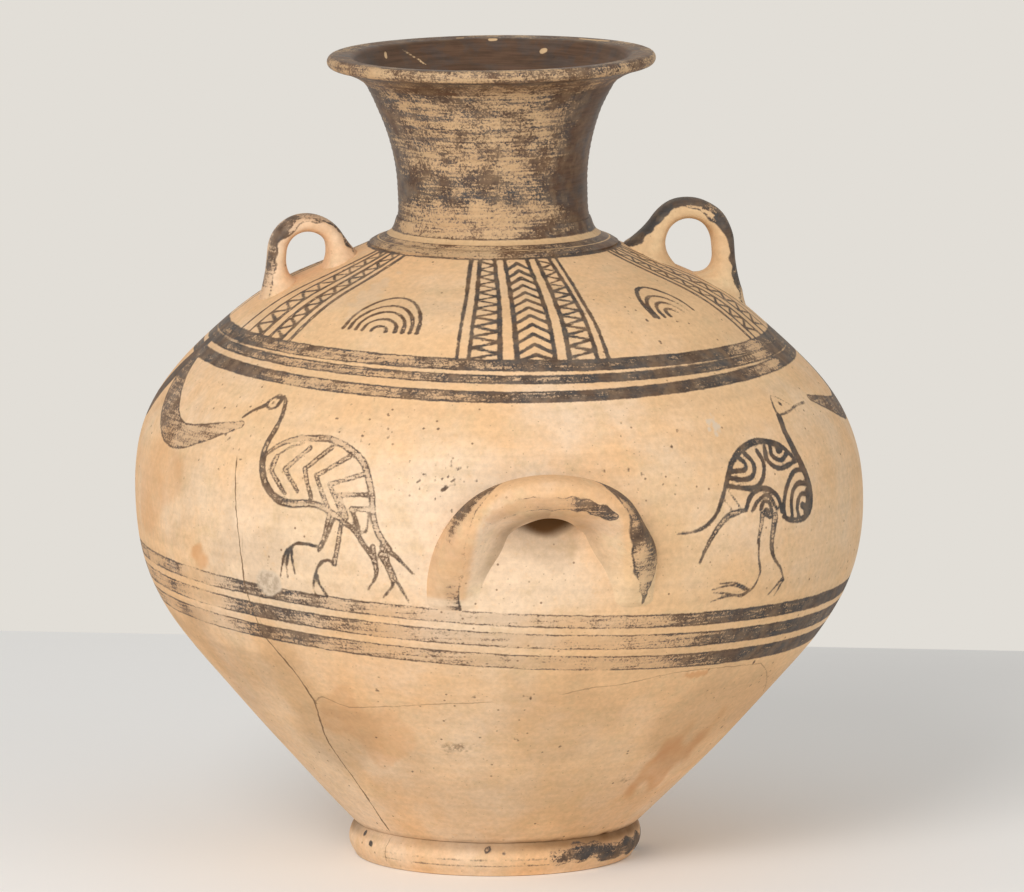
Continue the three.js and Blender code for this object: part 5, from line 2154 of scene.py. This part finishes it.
@dataclass(frozen=True)
class Studio:
    """Camera, pale floor and soft light."""

    image_width: int = 1024
    pixels_per_mm: float = 1.793
    axis_pixel: float = 495.5
    distance: float = 6000.0
    azimuth: float = -7.5
    elevation: float = 8.5
    look_height: float = 229.5
    sensor: float = 36.0
    floor_back: float = 706.0
    floor_yaw: float = -14.3
    floor_colour: Colour = (0.95, 0.94, 0.92)
    floor_half: Place = (4.0, 2.6)
    wall_colour: Colour = (0.76, 0.73, 0.68)
    glow_colour: Colour = (1.0, 0.99, 0.97)
    glow: float = 0.55
    lamps: tuple[tuple[str, Three, float, float], ...] = (("Key", (-1.5, -2.6, 1.9), 1.4, 62.0),
                                                           ("Fill", (2.2, -2.4, 1.2), 1.6, 10.0))
    lamp_aim: Three = (0.0, 0.0, 0.2)

    def camera(self) -> None:
        """Camera at the photograph's viewing angle."""
        lens = bpy.data.cameras.new("Camera")
        lens.sensor_width = self.sensor
        lens.lens = self.pixels_per_mm * self.distance / self.image_width * self.sensor
        lens.clip_end = 100.0
        turn, tip = math.radians(self.azimuth), math.radians(self.elevation)
        back = Vector((math.sin(turn) * math.cos(tip), -math.cos(turn) * math.cos(tip), math.sin(tip)))
        right = Vector((math.cos(turn), math.sin(turn), 0.0))
        aside = (self.image_width / 2 - self.axis_pixel) / self.pixels_per_mm
        place = Vector((0, 0, self.look_height)) + back * self.distance + right * aside
        seat = link("Camera", lens)
        aim = back.to_track_quat("Z", "Y")
        seat.matrix_world = Matrix.Translation(place * MM) @ aim.to_matrix().to_4x4()
        bpy.context.scene.camera = seat

    def floor(self) -> None:
        """Pale table top whose back edge shows behind the jar."""
        shape = bmesh.new()
        bmesh.ops.create_grid(shape, x_segments=1, y_segments=1, size=1.0)
        middle = (0.0, self.floor_back * MM - self.floor_half[1], 0.0)
        turn = Matrix.Rotation(math.radians(self.floor_yaw), 3, "Z")
        bmesh.ops.scale(shape, vec=(*self.floor_half, 1.0), verts=shape.verts[:])
        bmesh.ops.translate(shape, vec=middle, verts=shape.verts[:])
        bmesh.ops.rotate(shape, cent=(0, 0, 0), matrix=turn, verts=shape.verts[:])
        mesh = bpy.data.meshes.new("Floor")
        shape.to_mesh(mesh)
        shape.free()
        material = bpy.data.materials.new("Pale floor")
        material.use_nodes = True
        shader = material.node_tree.nodes["Principled BSDF"]
        shader.inputs["Base Color"].default_value = (*self.floor_colour, 1.0)
        shader.inputs["Roughness"].default_value = 0.9
        shader.inputs["Specular IOR Level"].default_value = 0.1
        mesh.materials.append(material)
        link("Floor", mesh)

    def lamp(self, name: str, place: Three, size: float, watts: float) -> None:
        """Soft square lamp that faces the jar.

        Args:
            name: Name of the lamp.
            place: Where it hangs, in metres.
            size: Side of the lamp.
            watts: Power of the lamp.
        """
        light = bpy.data.lights.new(name, "AREA")
        light.size = size
        light.energy = watts
        aim = (Vector(place) - Vector(self.lamp_aim)).to_track_quat("Z", "Y")
        link(name, light).matrix_world = Matrix.Translation(place) @ aim.to_matrix().to_4x4()

    def light(self) -> None:
        """Large key from the left, a weak fill and a pale surround."""
        for lamp in self.lamps:
            self.lamp(*lamp)
        world = bpy.data.worlds.new("Pale surround")
        world.use_nodes = True
        tree = world.node_tree
        tree.nodes.clear()
        bench = NodeBench(tree)
        path = bench.add("ShaderNodeLightPath").outputs
        shown = bench.plus(path["Is Camera Ray"], path["Is Glossy Ray"], clamp=True)
        shown = bench.plus(shown, path["Is Transmission Ray"], clamp=True)
        seen = bench.add("ShaderNodeBackground", {"Color": self.wall_colour})
        glow = bench.add("ShaderNodeBackground", {"Color": self.glow_colour, "Strength": self.glow})
        mix = bench.add("ShaderNodeMixShader", {0: shown, 1: glow.outputs[0], 2: seen.outputs[0]})
        bench.add("ShaderNodeOutputWorld", {"Surface": mix.outputs[0]})
        bpy.context.scene.world = world

    def build(self) -> None:
        """Sets up the studio."""
        self.camera()
        self.floor()
        self.light()
        bpy.context.scene.view_settings.view_transform = "Standard"


def main() -> None:
    """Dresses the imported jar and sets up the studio."""
    logging.basicConfig(level=logging.INFO, format="%(name)s %(message)s")
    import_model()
    Studio().build()
    kiln = Kiln()
    finishes = {slot: kiln.fire(finish) for slot, finish in FINISHES.items()}
    FootRing(finishes[Slot.FOOT]).build()
    BodySections(finishes[Slot.BODY]).build()
    NeckAndRim(finishes[Slot.NECK]).build()
    ShoulderLoop("shoulder_handle_right", finishes[Slot.HANDLE], 1.0, 27.0, 16.0, thickness=11.5,
                 leg_thickness=12.5, place=0.509, tuck=0.6, inner_tuck=0.5, fillet=8.0, wear=0.28,
                 crown_wear=0.76, tone=0.15, flush=0.16,
                 bands=((-0.8, 1.6), (-0.3, 3.0), (0.1, 4.0), (0.4, 2.4), (0.62, 4.6), (0.8, 6.4),
                        (1.0, 5.0), (1.6, 3.4))).build()
    ShoulderLoop("shoulder_handle_left", finishes[Slot.HANDLE], -1.0, 25.0, 11.0, thickness=10.0,
                 inner_splay=27.0, outer_splay=7.0, foot_thickness=17.0, place=0.455, inner_tuck=0.7,
                 wear=0.55, crown_wear=0.9, tone=0.5, flush=0.1, bloom=0.5,
                 bands=((-0.6, 1.6), (0.3, 1.6), (0.55, 2.2), (0.75, 5.0), (1.0, 4.6), (1.4, 4.0))).build()
    for name, side in (("belly_handle_front", 1.0), ("belly_handle_back", -1.0)):
        BellyArch(name, finishes[Slot.HANDLE], side).build()


if __name__ == "__main__":
    main()
